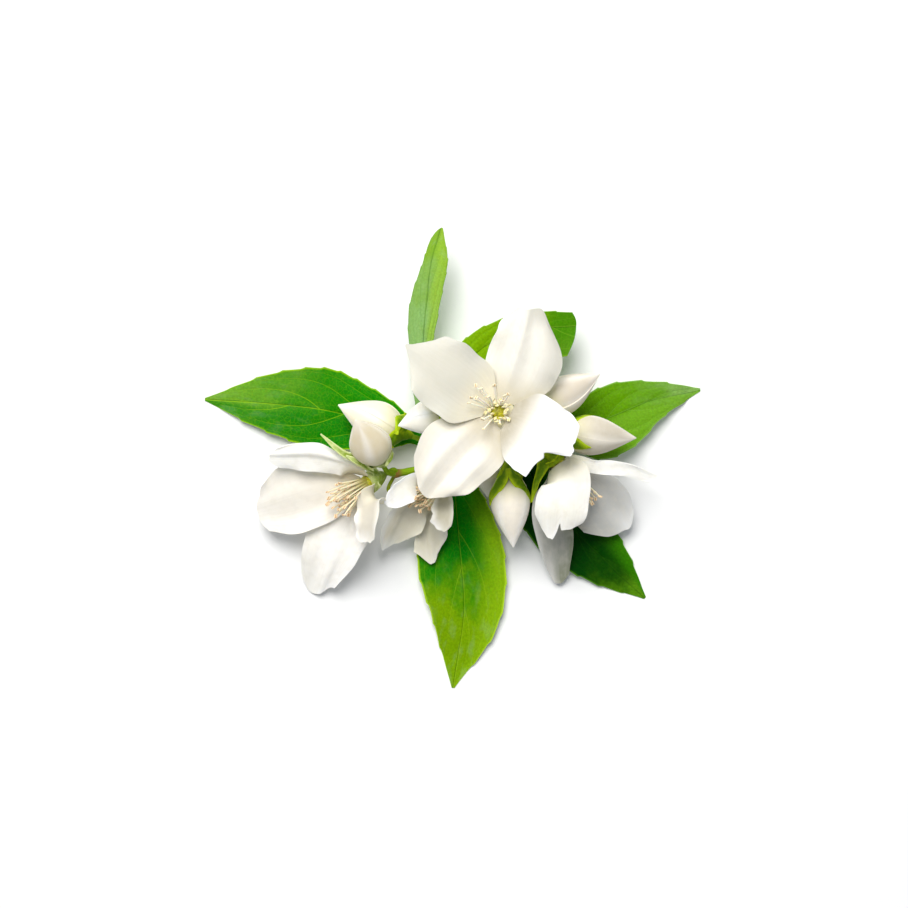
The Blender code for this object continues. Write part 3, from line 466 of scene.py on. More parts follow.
# How far an anther may tip from the line of its thread, in metres beside the thread's upper part
LEAST_TIP, MOST_TIP = (-0.004, -0.004, -0.002), (0.004, 0.004, 0.004)
# In millimetres, what shows in a leaf: its midrib, a cell of its fine net, the size of the net's bends and
# how far they go, a grain of its skin, a cloud of its green, and a patch of painted sheen across and along
# it. The net and the grain are drawn coarser than the real ones, which are too fine to show.
MIDRIB_WIDTH = 0.17
NET_CELL = 0.85
NET_BEND = 1.11
NET_BEND_REACH = (0.9, 0.9, 0.0)
SKIN_GRAIN = 0.4
LEAF_CLOUD = 6.25
SHEEN_PATCH = (1.82, 3.33)
# A petal: a cloud of its tissue and how deep light spreads in it, in millimetres, how far red, green and
# blue light spread as shares of that, and the faint lines in its half-width and along it, which are
# about half a millimetre apart on a large petal
PETAL_CLOUD = 1.67
PETAL_GLOW = 0.6
GLOW_SHARES = (1.0, 0.9, 0.7)
PETAL_LINES = (15.0, 1.8, 0.0)
PETAL_STREAKS, BUD_STREAKS = 0.12, 0.1
# In millimetres: the down of sepals, ridges of bark, warts of a disc, streaks of a rib, and fibres of
# the card, all drawn coarser than the real ones
SEPAL_DOWN, BARK_RIDGE, DISC_WART, RIB_STREAK, CARD_FIBRE = 0.714, 0.909, 0.625, 1.43, 1.11


@dataclass
class LeafLook:
    """A leaf's slot, and its colours at its base and tip, on one half of the folded blade as painted light
    and shade, of its veins and its underside.
    """

    slot: str
    base: str
    tip: str
    half_shading: str
    vein: str
    underside: str
    # Shares of the leaf's length where the tip's colour begins and is full
    tip_reach: tuple
    # Where across the blade the half's painted light and shade begins and is full, and how strongly it then
    # shows
    half_shading_reach: tuple
    # How strongly the pale patches of painted sheen, the veins and the grain show, and how rough the waxy
    # skin is
    painted_sheen: float
    veins: float
    grain: float
    roughness: float


# The darkest base greens of the bottom and lower right leaves are partly painted shade where the flowers
# lie over them.
LEAF_LOOKS = {
    "leaf_left": LeafLook(
        "leaf_dark", "188000", "70A02C", "0A7400", "A0CC14", "9CC468", tip_reach=(0.4, 1.1),
        half_shading_reach=(0.1, -0.4, 0.8), painted_sheen=0.08, veins=0.5, grain=0.3, roughness=0.42,
    ),
    "leaf_top": LeafLook(
        "leaf_light", "88B26A", "78A02C", "92B834", "5A8E18", "93C25A", tip_reach=(0.3, 0.9),
        half_shading_reach=(0.0, 0.6, 0.7), painted_sheen=0.15, veins=0.5, grain=0.2, roughness=0.5,
    ),
    "leaf_back": LeafLook(
        "leaf_light", "729E00", "428000", "66981C", "94C038", "8FC25A", tip_reach=(0.5, 0.95),
        half_shading_reach=(0.2, 0.8, 0.4), painted_sheen=0.0, veins=0.3, grain=0.25, roughness=0.45,
    ),
    "leaf_right": LeafLook(
        "leaf_light", "5A9000", "84AC58", "6A9E1C", "88B850", "9CCB60", tip_reach=(0.6, 1.05),
        half_shading_reach=(0.0, 0.22, 0.8), painted_sheen=0.08, veins=0.25, grain=0.3, roughness=0.42,
    ),
    "leaf_lower_right": LeafLook(
        "leaf_dark", "003C00", "508208", "307400", "5C9420", "8FBC5A", tip_reach=(0.66, 1.05),
        half_shading_reach=(-0.2, -0.9, 0.9), painted_sheen=0.0, veins=0.07, grain=0.3, roughness=0.42,
    ),
    "leaf_bottom": LeafLook(
        "leaf_dark", "007600", "709800", "80AA0A", "B4D830", "9CC468", tip_reach=(0.5, 0.8),
        half_shading_reach=(-0.25, -0.95, 0.9), painted_sheen=0.12, veins=0.2, grain=0.25, roughness=0.38,
    ),
}
# The colours of each petal's middle, left edge, right edge and base. They hold painted shade: grey middles
# where a petal's inside lies in shade, one edge darker on the side turned from the lamp, and a darker base
# where shade gathers round the flower's middle.
PETAL_COLOURS_AND_SHADE = {
    "main_petal_left": ("D6D3C5", "D6D4C8", "D0CEC4", "F0E8D0"),
    "main_petal_up": ("EEEAE0", "F2EEE2", "C2C0B6", "D2CAB4"),
    "main_petal_right": ("FFFBF4", "FFFFFF", "FFFFFF", "B8B09A"),
    "main_petal_down": ("F3EDE1", "DCD6C8", "E8E2D4", "CFC6AE"),
    "left_petal_up": ("FFFBF2", "FFFCF4", "FFFCF4", "DCD6BC"),
    "left_petal_left": ("F2ECE1", "FBF5EA", "F4EEE4", "D8CFB4"),
    "left_petal_down": ("FDF8F0", "FFFCF6", "FCF8EE", "D8CFB4"),
    "left_petal_right": ("D2CCBE", "EEEAE0", "F4F0E8", "E2DBC4"),
    "centre_petal_up": ("FCF8EE", "FFFFFF", "FFFFFF", "CFC8A8"),
    "centre_petal_left": ("CFCAB6", "DAD6C4", "F8F6EE", "B0A880"),
    "centre_petal_down": ("CEC9B4", "E6E2D4", "DCD8C6", "B0A880"),
    "centre_petal_right": ("C2BCA6", "DAD6C6", "F4F0E8", "B0A884"),
    "right_petal_front": ("F8F4E8", "FFFAF0", "FFFCF4", "E0DAC4"),
    "right_petal_up": ("FFFCF4", "FFFDF6", "FFFDF6", "E8E4D2"),
    "right_petal_far": ("C4C4C0", "E2E2E0", "BCBCB6", "A8A898"),
    "right_petal_down": ("A8A89E", "888C76", "D0CFCA", "80846E"),
}
# The middle and edge of each closed bud, with painted shade: the buds that face the lamp are whiter, and
# those turned from it are painted a darker beige.
BUD_COLOURS_AND_SHADE = {
    "bud_upper_left": ("EEE5CE", "FBF6E8"), "bud_front_left": ("D8CBAC", "ECE4D4"),
    "bud_behind_left": ("FAF6EC", "FFFFFF"), "bud_upper_right": ("DBD0BE", "F0E9DE"),
    "bud_right": ("CBC2B0", "E6DFD2"), "bud_bottom": ("F8EFE0", "FFF9F0"),
    "bud_peeking": ("E9DFCF", "F4EEE2"),
}
# The base of every bud's petals, and the four colours of the pale seat under the main flower's disc
BUD_CLAW = "DED8B4"
SEAT_COLOURS = ("F0E8C0", "F6F0D0", "F6F0D0", "F0E6B0")
# The flower and bud whose cups are paler
PALE_CUPS = ("left", "bud_front_left")
# Shares of a leaf's length where its half's painted light and shade begins and is full
HALF_SHADING_FROM, HALF_SHADING_FULL = 0.2, 0.55
# The angle, in degrees round a bud, that looks straight up
UPRIGHT = 270
# Heights and radii of the pale ring round a flower's disc, for size 1
SEAT_PROFILE = [(-0.4, 2.4), (-0.3, 3.3), (-0.1, 3.3), (0.25, 2.4), (0.5, 2.0), (0.55, 1.2)]

# What a kind of node's full name may begin with, a smooth ramp, and the kinds of value that nodes work on
NODE_FAMILIES = ("ShaderNode", "GeometryNode", "FunctionNode")
SMOOTH = {"interpolation_type": "SMOOTHSTEP"}
COLOURS = {"data_type": "RGBA"}
VECTORS = {"data_type": "FLOAT_VECTOR"}

TABLE_SIDE = 1.6
# The lamp stands high beyond the top leaf and a little left, in metres: shadows fall to the lower right.
LAMP_PLACE = (-0.15, 0.48, 0.81)
LAMP_SIZE = 0.64
LAMP_COLOUR = (1.0, 0.985, 0.96)
SKY_COLOUR = (0.9, 0.95, 1.0)


# Colours and the sidebar's settings


def linear(hex_code):
    """A colour in Blender's linear values from an sRGB hex code such as E8E2D2."""
    shares = [int(hex_code[start : start + 2], 16) / 255 for start in (0, 2, 4)]
    values = [v / 12.92 if v <= 0.04045 else ((v + 0.055) / 1.055) ** 2.4 for v in shares]
    return (*values, 1.0)


def tinted(hex_codes, tint):
    """Linear colours from hex codes, each multiplied by a tint."""
    return [tuple(value * share for value, share in zip(linear(code), tint)) for code in hex_codes]


def colour_setting(name, description, hex_code):
    """A colour that the sidebar shows, kept in linear values."""
    return FloatVectorProperty(
        name=name, description=description, subtype="COLOR", size=4, min=0, max=1, default=linear(hex_code)
    )


def length_setting(name, description, millimetres):
    """A small length that the sidebar shows, kept in metres."""
    return FloatProperty(
        name=name, description=description, unit="LENGTH", precision=5, min=0.0,
        default=millimetres * METRES,
    )


class SprigPetalSettings(bpy.types.PropertyGroup):
    """How thick the petals are, how high their pleats stand, and their tint."""

    middle: length_setting("Middle", "Thickness of a petal along its middle", 0.42)
    edge: length_setting("Edge", "Thickness of a petal at its edge", 0.16)
    pleat: length_setting("Pleat", "Height of the fine pleats that run out from a petal's base", 0.015)
    tint: colour_setting("Tint", "Multiplies the colours of all petals and buds", "FFFFFF")


class SprigLeafSettings(bpy.types.PropertyGroup):
    """How thick the leaves are, and how their veins and teeth stand."""

    middle: length_setting("Middle", "Thickness of a leaf along its middle", 0.45)
    edge: length_setting("Edge", "Thickness of a leaf at its edge", 0.18)
    vein_depth: length_setting("Vein depth", "How far the veins sink below the blade", 0.16)
    tooth_spacing: length_setting("Tooth spacing", "Distance from tooth to tooth along the edge", 3.6)
    rib: length_setting("Rib", "Radius of the midrib where it leaves the stem", 0.5)


class SprigStemSettings(bpy.types.PropertyGroup):
    """The woody stem and its stalks."""

    sides: IntProperty(name="Sides", description="Faces round the stem", default=20, min=3, max=64)
    bark: length_setting("Bark", "Height of the bark's ridges", 0.07)
    grain: FloatProperty(name="Grain", description="Bark ridges in a metre", default=900.0, min=1.0)
    green: colour_setting("Green", "The stem's green bark", "88AC18")
    brown: colour_setting("Brown", "The bark at its joints", "96683A")


class SprigStamenSettings(bpy.types.PropertyGroup):
    """The filaments and their anthers."""

    filament: length_setting("Filament", "Radius of a filament at its root", 0.21)
    anther: length_setting("Anther", "Half the length of an anther", 0.48)
    seed: IntProperty(name="Seed", description="Which way the anthers are tipped", default=4)
    root: colour_setting("Root", "A filament near its root", "B4AA5A")
    thread: colour_setting("Thread", "A filament near its anther", "FFFAE8")
    pollen: colour_setting("Pollen", "The lobes of an anther", "FFF4D2")
    seam: colour_setting("Seam", "The seam between an anther's lobes", "D8AE74")


class SprigStageSettings(bpy.types.PropertyGroup):
    """The table, the lamp and the sky."""

    key_power: FloatProperty(
        name="Key power", description="Power of the big soft lamp", default=10.6, unit="POWER"
    )
    sky: FloatProperty(
        name="Sky", description="Strength of the light from all round", default=0.39, min=0.0
    )
    table: colour_setting("Table", "The pale surface under the sprig", "F5F5F5")


class SprigSettings(bpy.types.PropertyGroup):
    """Everything about the sprig that can be changed in the sidebar."""

    petals: PointerProperty(type=SprigPetalSettings)
    leaves: PointerProperty(type=SprigLeafSettings)
    stem: PointerProperty(type=SprigStemSettings)
    stamens: PointerProperty(type=SprigStamenSettings)
    stage: PointerProperty(type=SprigStageSettings)


# Shapes, in millimetres


def along(points, share):
    """The value at this share of a smooth curve through evenly spaced points, which may be numbers."""
    spans = len(points) - 1
    place = min(max(share, 0.0), 1.0) * spans
    first = min(int(place), spans - 1)
    t = place - first
    b, c = points[first], points[first + 1]
    a = points[first - 1] if first else b * 2 - c
    d = points[first + 2] if first + 2 <= spans else c * 2 - b
    return (b * 2 + (c - a) * t + (a * 2 - b * 5 + c * 4 - d) * t**2 + (b * 3 - a - c * 3 + d) * t**3) * 0.5


def as_vectors(points):
    return [Vector(point) for point in points]


def smooth_path(points, steps):
    """Places at even steps along a smooth curve through a few points."""
    vectors = as_vectors(points)
    return [along(vectors, step / steps) for step in range(steps + 1)]


def smooth_step(low, high, value):
    """0 below low, 1 above high, and smooth between."""
    t = min(max((value - low) / (high - low), 0.0), 1.0)
    return t * t * (3 - 2 * t)


def bump_at(value, middle, width):
    """1 at the middle, falling smoothly to nothing on both sides."""
    return math.exp(-(((value - middle) / width) ** 2))


def way_round(axis, angle):
    """The way straight out from an axis at this angle round it, as level as can be at 0."""
    level = axis.cross(UP)
    if level.length < 0.1:
        level = axis.cross(Vector((0, 1, 0)))
    level.normalize()
    return level * math.cos(angle) + axis.cross(level) * math.sin(angle)


def sheet_frame(blade, spine, share, up):
    """The place on the spine, and the ways along it, to its right and off its face."""
    here = along(spine, share)
    ahead = (along(spine, share + SPINE_STEP) - along(spine, share - SPINE_STEP)).normalized()
    side = ahead.cross(up).normalized()
    angle = math.radians(blade.roll[0] + (blade.roll[1] - blade.roll[0]) * share)
    right = side * math.cos(angle) + side.cross(ahead) * math.sin(angle)
    if blade.seat_side and share < SEATED_SHARE:
        right = blade.seat_side.lerp(right, share / SEATED_SHARE)
        right = (right - ahead * right.dot(ahead)).normalized()
    return here, ahead, right, right.cross(ahead)


class Body:
    """Points and faces in millimetres, with what each point needs to know for its colour."""

    def __init__(self):
        self.points = []
        self.faces = []
        # Across from -1 to 1, share from base to tip, and 1 on the underside
        self.blade = []
        # Millimetres across and along the flattened blade
        self.flat = []

    def add(self, point, blade, flat):
        self.points.append(point)
        self.blade.append(blade)
        self.flat.append(flat)

    def take(self, other):
        """Adds another body's points and faces."""
        start = len(self.points)
        self.points += other.points
        self.blade += other.blade
        self.flat += other.flat
        self.faces += [tuple(start + index for index in face) for face in other.faces]


def mesh_object(name, body, finish):
    """One named object from a body, with its two patterns' coordinates."""
    mesh = bpy.data.meshes.new(name)
    mesh.from_pydata([Vector(p) * METRES for p in body.points], [], body.faces)
    for label, values in (("blade", body.blade), ("flat", body.flat)):
        layer = mesh.attributes.new(label, "FLOAT_VECTOR", "POINT")
        layer.data.foreach_set("vector", [number for value in values for number in value])
    mesh.materials.append(finish)
    mesh.update()
    mesh.shade_smooth()
    mesh.set_sharp_from_angle(angle=SMOOTH_UP_TO)
    obj = bpy.data.objects.new(name, mesh)
    bpy.context.scene.collection.objects.link(obj)
    return obj


def settle(piece, slot, *nodes):
    """Hands a finished piece to the frame, in place of the nodes that it stands for."""
    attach(piece, "root")
    if nodes:
        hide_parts(*nodes)


def petal_relief(blade, across, share, pleat):
    """How far a petal's face stands off its plain form: creases, a rippled edge and fine pleats."""
    rise = 0.0
    open_part = smooth_step(*PETAL_OPENS, share)
    for at_base, at_tip, height, width in blade.creases:
        line = at_base + (at_tip - at_base) * share
        kept = 1 - CREASE_LOSS * smooth_step(*CREASE_FADES, share)
        rise += height * bump_at(across, line, width) * open_part * kept
    height, waves, start = blade.ripple
    wave = math.sin(math.tau * waves * share + start + PETAL_SKEW * across)
    rise += height * wave * abs(across) ** EDGE_POWER * open_part
    return rise + pleat * math.cos(across * PLEATS) * (1 - share)


def vein_line(across, share):
    """0 on a side vein and 0.5 midway between two. The veins leave the midrib and bend along the edge."""
    lift = share + LEAF_VEIN_CURL * math.log(max(1 - VEIN_BEND_REACH * abs(across), VEIN_LEAST_ROOM))
    phase = (lift * LEAF_SIDE_VEINS + (0.5 if across > 0 else 0.0)) % 1
    return min(phase, 1 - phase)


def leaf_relief(blade, across, share, depth):
    """How far a leaf's face stands off its plain form: sunk veins, a rippled edge and quilting between."""
    height, waves, start = blade.ripple
    rise = height * math.sin(math.tau * waves * share + start + LEAF_SKEW * across) * abs(across) ** 2
    quilt = 1 - bump_at(vein_line(across, share), 0, QUILT_WIDTH)
    rise += depth * quilt * (1 - abs(across) ** 3) * math.sin(math.pi * share)
    return rise - MIDRIB_SINK * depth * bump_at(across, 0, MIDRIB_SINK_WIDTH) * (1 - share)


def tooth_reach(blade, side, share, length, spacing):
    """How far a small forward-pointing tooth stands out of a leaf's edge."""
    if not blade.teeth:
        return 0.0
    begin, full, fade, end = TOOTHED
    phase = (share * (length / spacing) + (TOOTH_SHIFT if side > 0 else 0.0)) % 1
    size = blade.teeth * smooth_step(begin, full, share) * (1 - smooth_step(fade, end, share))
    return size * phase**TOOTH_RISE * (1 - smooth_step(TOOTH_DROP, 1.0, phase))


def sheet_row(blade, spine, share, columns, up, skin):
    """One row of a blade's middle face: its places, and where each is across and along the blade."""
    here, ahead, right, face = sheet_frame(blade, spine, share, up)
    row = []
    for column in range(columns + 1):
        across = 2 * column / columns - 1
        reach = max(along(blade.right if across > 0 else blade.left, share), LEAST_HALF_WIDTH)
        teeth = tooth_reach(blade, across, share, skin["length"], skin["spacing"])
        reach += teeth * abs(across) ** TOOTH_HOLD
        edge = RIGHT_SLICE if across > 0 else LEFT_SLICE
        ragged = noise.noise(Vector((share * SIDE_SWELLS, skin["seed"], edge)))
        reach += skin["fray"] * ragged * smooth_step(*FRAYED, share)
        rise = reach * (blade.cup * across**2 + blade.fold * abs(across))
        rise += skin["relief"](blade, across, share, skin["depth"])
        run = along(blade.far_edge, (across + 1) / 2)
        run -= sum(depth * bump_at(across, middle, width) for middle, width, depth in blade.nicks)
        run += skin["fray"] * noise.noise(Vector((across * END_SWELLS, skin["seed"], END_SLICE)))
        run *= share**FAR_EDGE_POWER
        place = here + right * (across * reach) + face * rise + ahead * run
        row.append((place, (across, share), (across * reach, share * skin["length"])))
    return row


def face_ways(places, rows, columns):
    """The way that the middle face looks at each place."""
    ways = []
    wide = columns + 1
    for row in range(rows + 1):
        for column in range(wide):
            before, after = max(row - 1, 0), min(row + 1, rows)
            low, high = max(column - 1, 0), min(column + 1, columns)
            along_rows = places[after * wide + column] - places[before * wide + column]
            along_columns = places[row * wide + high] - places[row * wide + low]
            ways.append(along_columns.cross(along_rows).normalized())
    return ways


def fine_sheet(blade, grid, thickness, skin=None, up=UP, on_table=False):
    """A blade as a closed thin body that thins out from its middle to its edge. skin names its relief and
    the depth of that, its teeth's spacing, how far its edge frays, in millimetres, and its own seed."""
    rows, columns = grid
    middle, edge = thickness
    spine = as_vectors(blade.spine)
    skin = {"relief": petal_relief, "depth": 0.0, "spacing": 1.0, "fray": 0.0, "seed": 0.0, **(skin or {})}
    skin["length"] = sum((b - a).length for a, b in zip(spine, spine[1:]))
    cells = [
        cell for row in range(rows + 1) for cell in sheet_row(blade, spine, row / rows, columns, up, skin)
    ]
    places = [place for place, _, _ in cells]
    ways = face_ways(places, rows, columns)
    body = Body()
    for under in (0, 1):
        for (place, (across, share), flat), way in zip(cells, ways):
            thin = max(abs(across) ** EDGE_POWER, smooth_step(THIN_FROM, 1.0, share))
            half = (middle + (edge - middle) * thin) / 2
            if on_table and place.z < half:
                place, way = Vector((place.x, place.y, half)), UP
            point = place - way * half if under else place + way * half
            body.add(point, (across, share, under), (*flat, under))
    body.faces = sheet_faces(rows, columns)
    return body


def sheet_faces(rows, columns):
    """The faces of a closed sheet: its upper side, its underside and its rim."""
    wide = columns + 1
    count = wide * (rows + 1)
    faces = []
    for row in range(rows):
        for column in range(columns):
            a = row * wide + column
            b, c, d = a + 1, a + wide + 1, a + wide
            faces.append((a, b, c, d))
            faces.append((count + d, count + c, count + b, count + a))
    rim = list(range(wide))
    rim += [row * wide + columns for row in range(1, rows + 1)]
    rim += [rows * wide + column for column in range(columns - 1, -1, -1)]
    rim += [row * wide for row in range(rows - 1, 0, -1)]
    for a, b in zip(rim, rim[1:] + rim[:1]):
        faces.append((b, a, count + a, count + b))
    return faces


def turned_body(base, axis, profile, sides, waves=(0, 0.0)):
    """A profile of heights and radii turned round an axis. waves is how many go round it, and how deep."""
    axis = Vector(axis).normalized()
    count, depth = waves
    body = Body()
    for ring, (height, radius) in enumerate(profile):
        share = ring / (len(profile) - 1)
        for side in range(sides):
            angle = math.tau * side / sides
            wave = 1 + depth * math.cos(count * angle) * math.sin(math.pi * share)
            point = Vector(base) + axis * height + way_round(axis, angle) * (radius * wave)
            body.add(point, (2 * side / sides - 1, share, 0), (side, height, 0))
    body.faces = ring_faces(len(profile), sides)
    return body


def ring_faces(rings, sides):
    """The faces of a closed body made of rings of points, each with the same number of sides."""
    faces = [tuple(reversed(range(sides)))]
    for ring in range(rings - 1):
        for side in range(sides):
            a = ring * sides + side
            b = ring * sides + (side + 1) % sides
            faces.append((a, b, b + sides, a + sides))
    faces.append(tuple(range((rings - 1) * sides, rings * sides)))
    return faces


def bud_radius(share):
    """The radius of a bud's white body at this share of the bud's length, as a share of its widest."""
    return along(BUD_BODY_RADII, (share - BUD_BODY_FROM) / (1 - BUD_BODY_FROM))


def bud_body(bud):
    """Four white petals wrapped round each other: each one's free edge stands a step off the next."""
    base, axis, length = bud.line()
    petals, columns, rings = BUD_GRID
    swell, swell_from, swell_power = BUD_SWELL
    body = Body()
    for ring in range(rings + 1):
        share = BUD_BODY_FROM + (1 - BUD_BODY_FROM) * ring / rings
        up_share = ring / rings
        twist = bud.turn + bud.twist * math.tau * up_share / petals
        loose = math.sin(math.pi * min(up_share * swell + swell_from, 1.0)) ** swell_power
        for petal in range(petals):
            for column in range(columns):
                phase = column / (columns - 1)
                way = way_round(axis, math.tau * (petal + phase * BUD_WRAP) / petals + twist)
                rise = bud.step * loose * ((1 - phase) ** BUD_EDGE_RISE - BUD_EDGE_SINK)
                flute = 1 + BUD_FLUTE * math.cos(2 * math.tau * (petal + phase) / petals) * loose
                radius = (bud_radius(share) * flute + rise / 4) * bud.radius
                point = base + axis * (share * length) + way * max(radius, BUD_LEAST_RADIUS)
                body.add(
                    point, (2 * phase - 1, up_share, 0), (phase * BUD_PETAL_WIDTH, up_share * length, 0)
                )
    body.faces = ring_faces(rings + 1, petals * columns)
    return body


def bud_cup(bud):
    """A bud's green cup, and its four pointed sepals that hug the white body."""
    base, axis, length = bud.line()
    cup = [(share * length, ratio * bud.radius) for share, ratio in BUD_CUP_PROFILE]
    body = turned_body(base, axis, cup, BUD_CUP_SIDES)
    root_share, root_reach = BUD_SEPAL_ROOT
    half = [ratio * bud.radius * bud.sepal_width for ratio in BUD_SEPAL_WIDTHS]
    for number, degrees in enumerate(bud.sepal_turns):
        turn = math.radians(degrees)
        fan = math.radians(bud.sepal_fan if degrees > UPRIGHT else -bud.sepal_fan)
        root = way_round(axis, turn) * (root_reach * bud.radius)
        spine = [base + axis * (root_share * length) + root]
        for step in range(4):
            share = BUD_SEPAL_FROM + (bud.sepal_reach - BUD_SEPAL_FROM) * step / 3
            reach = max(bud_radius(share), BUD_SEPAL_LEAST) * bud.radius + BUD_SEPAL_CLEAR
            spine.append(base + axis * (share * length) + way_round(axis, turn + fan * step / 3) * reach)
        sepal = Blade(spine, half, half, cup=-0.33, ripple=(0.12, 1.5, number))
        body.take(fine_sheet(sepal, SEPAL_GRID, THIN_SEPAL, up=way_round(axis, turn + fan / 2)))
    return body


def flower_cup(flower):
    """A flower's green cup, and four pointed sepals that spread from under its rim."""
    centre, axis = flower.mouth()
    body = turned_body(centre, axis, flower.sized(CUP_PROFILE), CUP_SIDES, CUP_WAVES)
    scale = flower.size * flower.sepal_reach
    for quarter in range(4):
        way = way_round(axis, math.radians(SEPAL_TURN + 90 * quarter))
        spine = [
            centre + (way * (out * scale) + axis * (height * flower.size)) for out, height in SEPAL_SPOTS
        ]
        sepal = Blade(spine, SEPAL_HALF_WIDTHS, SEPAL_HALF_WIDTHS, cup=0.12, ripple=(0.15, 1.3, quarter))
        body.take(fine_sheet(sepal, SEPAL_GRID, SEPAL_THICKNESS, up=axis))
    return body


def flower_disc(flower):
    """The olive dome in a flower's middle, with four soft lobes."""
    profile = [(-DISC_SINK, DISC_RADIUS)]
    for step in range(DISC_STEPS + 1):
        angle = math.pi / 2 * step / DISC_STEPS
        profile.append((DISC_HEIGHT * math.sin(angle), max(DISC_RADIUS * math.cos(angle), DISC_TOP)))
    return turned_body(*flower.mouth(), flower.sized(profile), DISC_SIDES, DISC_WAVES)


def flower_seat(flower):
    """The low pale ring round a flower's disc that its petals and stamens stand on."""
    return turned_body(*flower.mouth(), flower.sized(SEAT_PROFILE), DISC_SIDES)


def cup_foot(name):
    """The lower end of this flower's or bud's green cup, and the way that the cup points."""
    if name in BUDS:
        return BUDS[name].line()[:2]
    centre, axis = FLOWERS[name].mouth()
    return centre + axis * (CUP_PROFILE[0][0] * FLOWERS[name].size), axis


# Nodes, and the trees that grow stalks and stamens


def feed(socket, value):
    """Gives an input its value, or the output that feeds it, or a list of them."""
    for item in value if isinstance(value, list) else [value]:
        if isinstance(item, bpy.types.NodeSocket):
            socket.id_data.links.new(item, socket)
        else:
            socket.default_value = item


def node_adder(tree):
    """What adds a node to a tree, by its kind without its family, and gives its outputs. sockets maps the
    name or number of an input to what it gets. Map Range has its ramp's ends at 1 and 2 and what it gives
    there at 3 and 4, and Mix has its two colours at 6 and 7."""

    def add(kind, sockets=None, **settings):
        family = next(family for family in NODE_FAMILIES if hasattr(bpy.types, family + kind))
        node = tree.nodes.new(family + kind)
        for name, value in settings.items():
            setattr(node, name, value)
        for key, value in (sockets or {}).items():
            feed(node.inputs[key], value)
        return node.outputs

    return add


def new_tree(name, inputs):
    """A geometry tree with a Geometry input and output, and inputs of these names and kinds."""
    tree = bpy.data.node_groups.new(name, "GeometryNodeTree")
    for label, kind in {"Geometry": "Geometry", **inputs}.items():
        tree.interface.new_socket(label, in_out="INPUT", socket_type="NodeSocket" + kind)
    tree.interface.new_socket("Geometry", in_out="OUTPUT", socket_type="NodeSocketGeometry")
    given = tree.nodes.new("NodeGroupInput").outputs
    return tree, node_adder(tree), given, tree.nodes.new("NodeGroupOutput").inputs["Geometry"]


def grown(name, mesh, tree, settings):
    """The plain mesh that a tree grows from another mesh, as a named object."""
    piece = bpy.data.objects.new(name, mesh)
    bpy.context.scene.collection.objects.link(piece)
    modifier = piece.modifiers.new("growth", "NODES")
    modifier.node_group = tree
    for item in tree.interface.items_tree:
        if item.in_out == "INPUT" and item.name in settings:
            modifier[item.identifier] = settings[item.name]
    bpy.context.view_layer.update()
    graph = bpy.context.evaluated_depsgraph_get()
    result = bpy.data.meshes.new_from_object(
        piece.evaluated_get(graph), preserve_all_data_layers=True, depsgraph=graph
    )
    piece.modifiers.clear()
    piece.data = result
    result.name = name
    return piece


def stalk_tree():
    """Grows a round stalk along every path of a mesh, as thick as its points say, with rough bark."""
    inputs = {"Sides": "Int", "Bark": "Float", "Grain": "Float", "Bark Finish": "Material"}
    tree, add, given, result = new_tree("Stalks on paths", inputs)
    path = add("MeshToCurve", {"Mesh": given["Geometry"]})
    ring = add("CurvePrimitiveCircle", {"Resolution": given["Sides"], "Radius": 1.0})
    thick = add("InputNamedAttribute", {"Name": "thickness"})
    tube = add("CurveToMesh", {0: path[0], 1: ring[0], "Scale": thick[0], "Fill Caps": True})
    place = add("InputPosition")
    rough = add("TexNoise", {"Vector": place[0], "Scale": given["Grain"], "Detail": 2.0})
    level = add("Math", {0: rough[0], 1: 0.5}, operation="SUBTRACT")
    lift = add("Math", {0: level[0], 1: given["Bark"]}, operation="MULTIPLY")
    out = add("InputNormal")
    move = add("VectorMath", {0: out[0], "Scale": lift[0]}, operation="SCALE")
    moved = add("SetPosition", {"Geometry": tube[0], "Offset": move[0]})
    smooth = add("SetShadeSmooth", {"Geometry": moved[0]})
    solid = add("RealizeInstances", {"Geometry": smooth[0]})
    finished = add("SetMaterial", {"Geometry": solid[0], "Material": given["Bark Finish"]})
    feed(result, finished[0])
    return tree


def path_mesh(name, paths):
    """A mesh of open paths. Each is a list of places, radii and how brown the bark is, in millimetres."""
    points, edges, thickness, brown = [], [], [], []
    for places, radii, tints in paths:
        start = len(points)
        points += [Vector(place) * METRES for place in places]
        edges += [(start + step, start + step + 1) for step in range(len(places) - 1)]
        thickness += [radius * METRES for radius in radii]
        brown += tints
    mesh = bpy.data.meshes.new(name)
    mesh.from_pydata(points, edges, [])
    for label, values in (("thickness", thickness), ("brown", brown)):
        mesh.attributes.new(label, "FLOAT", "POINT").data.foreach_set("value", values)
    return mesh


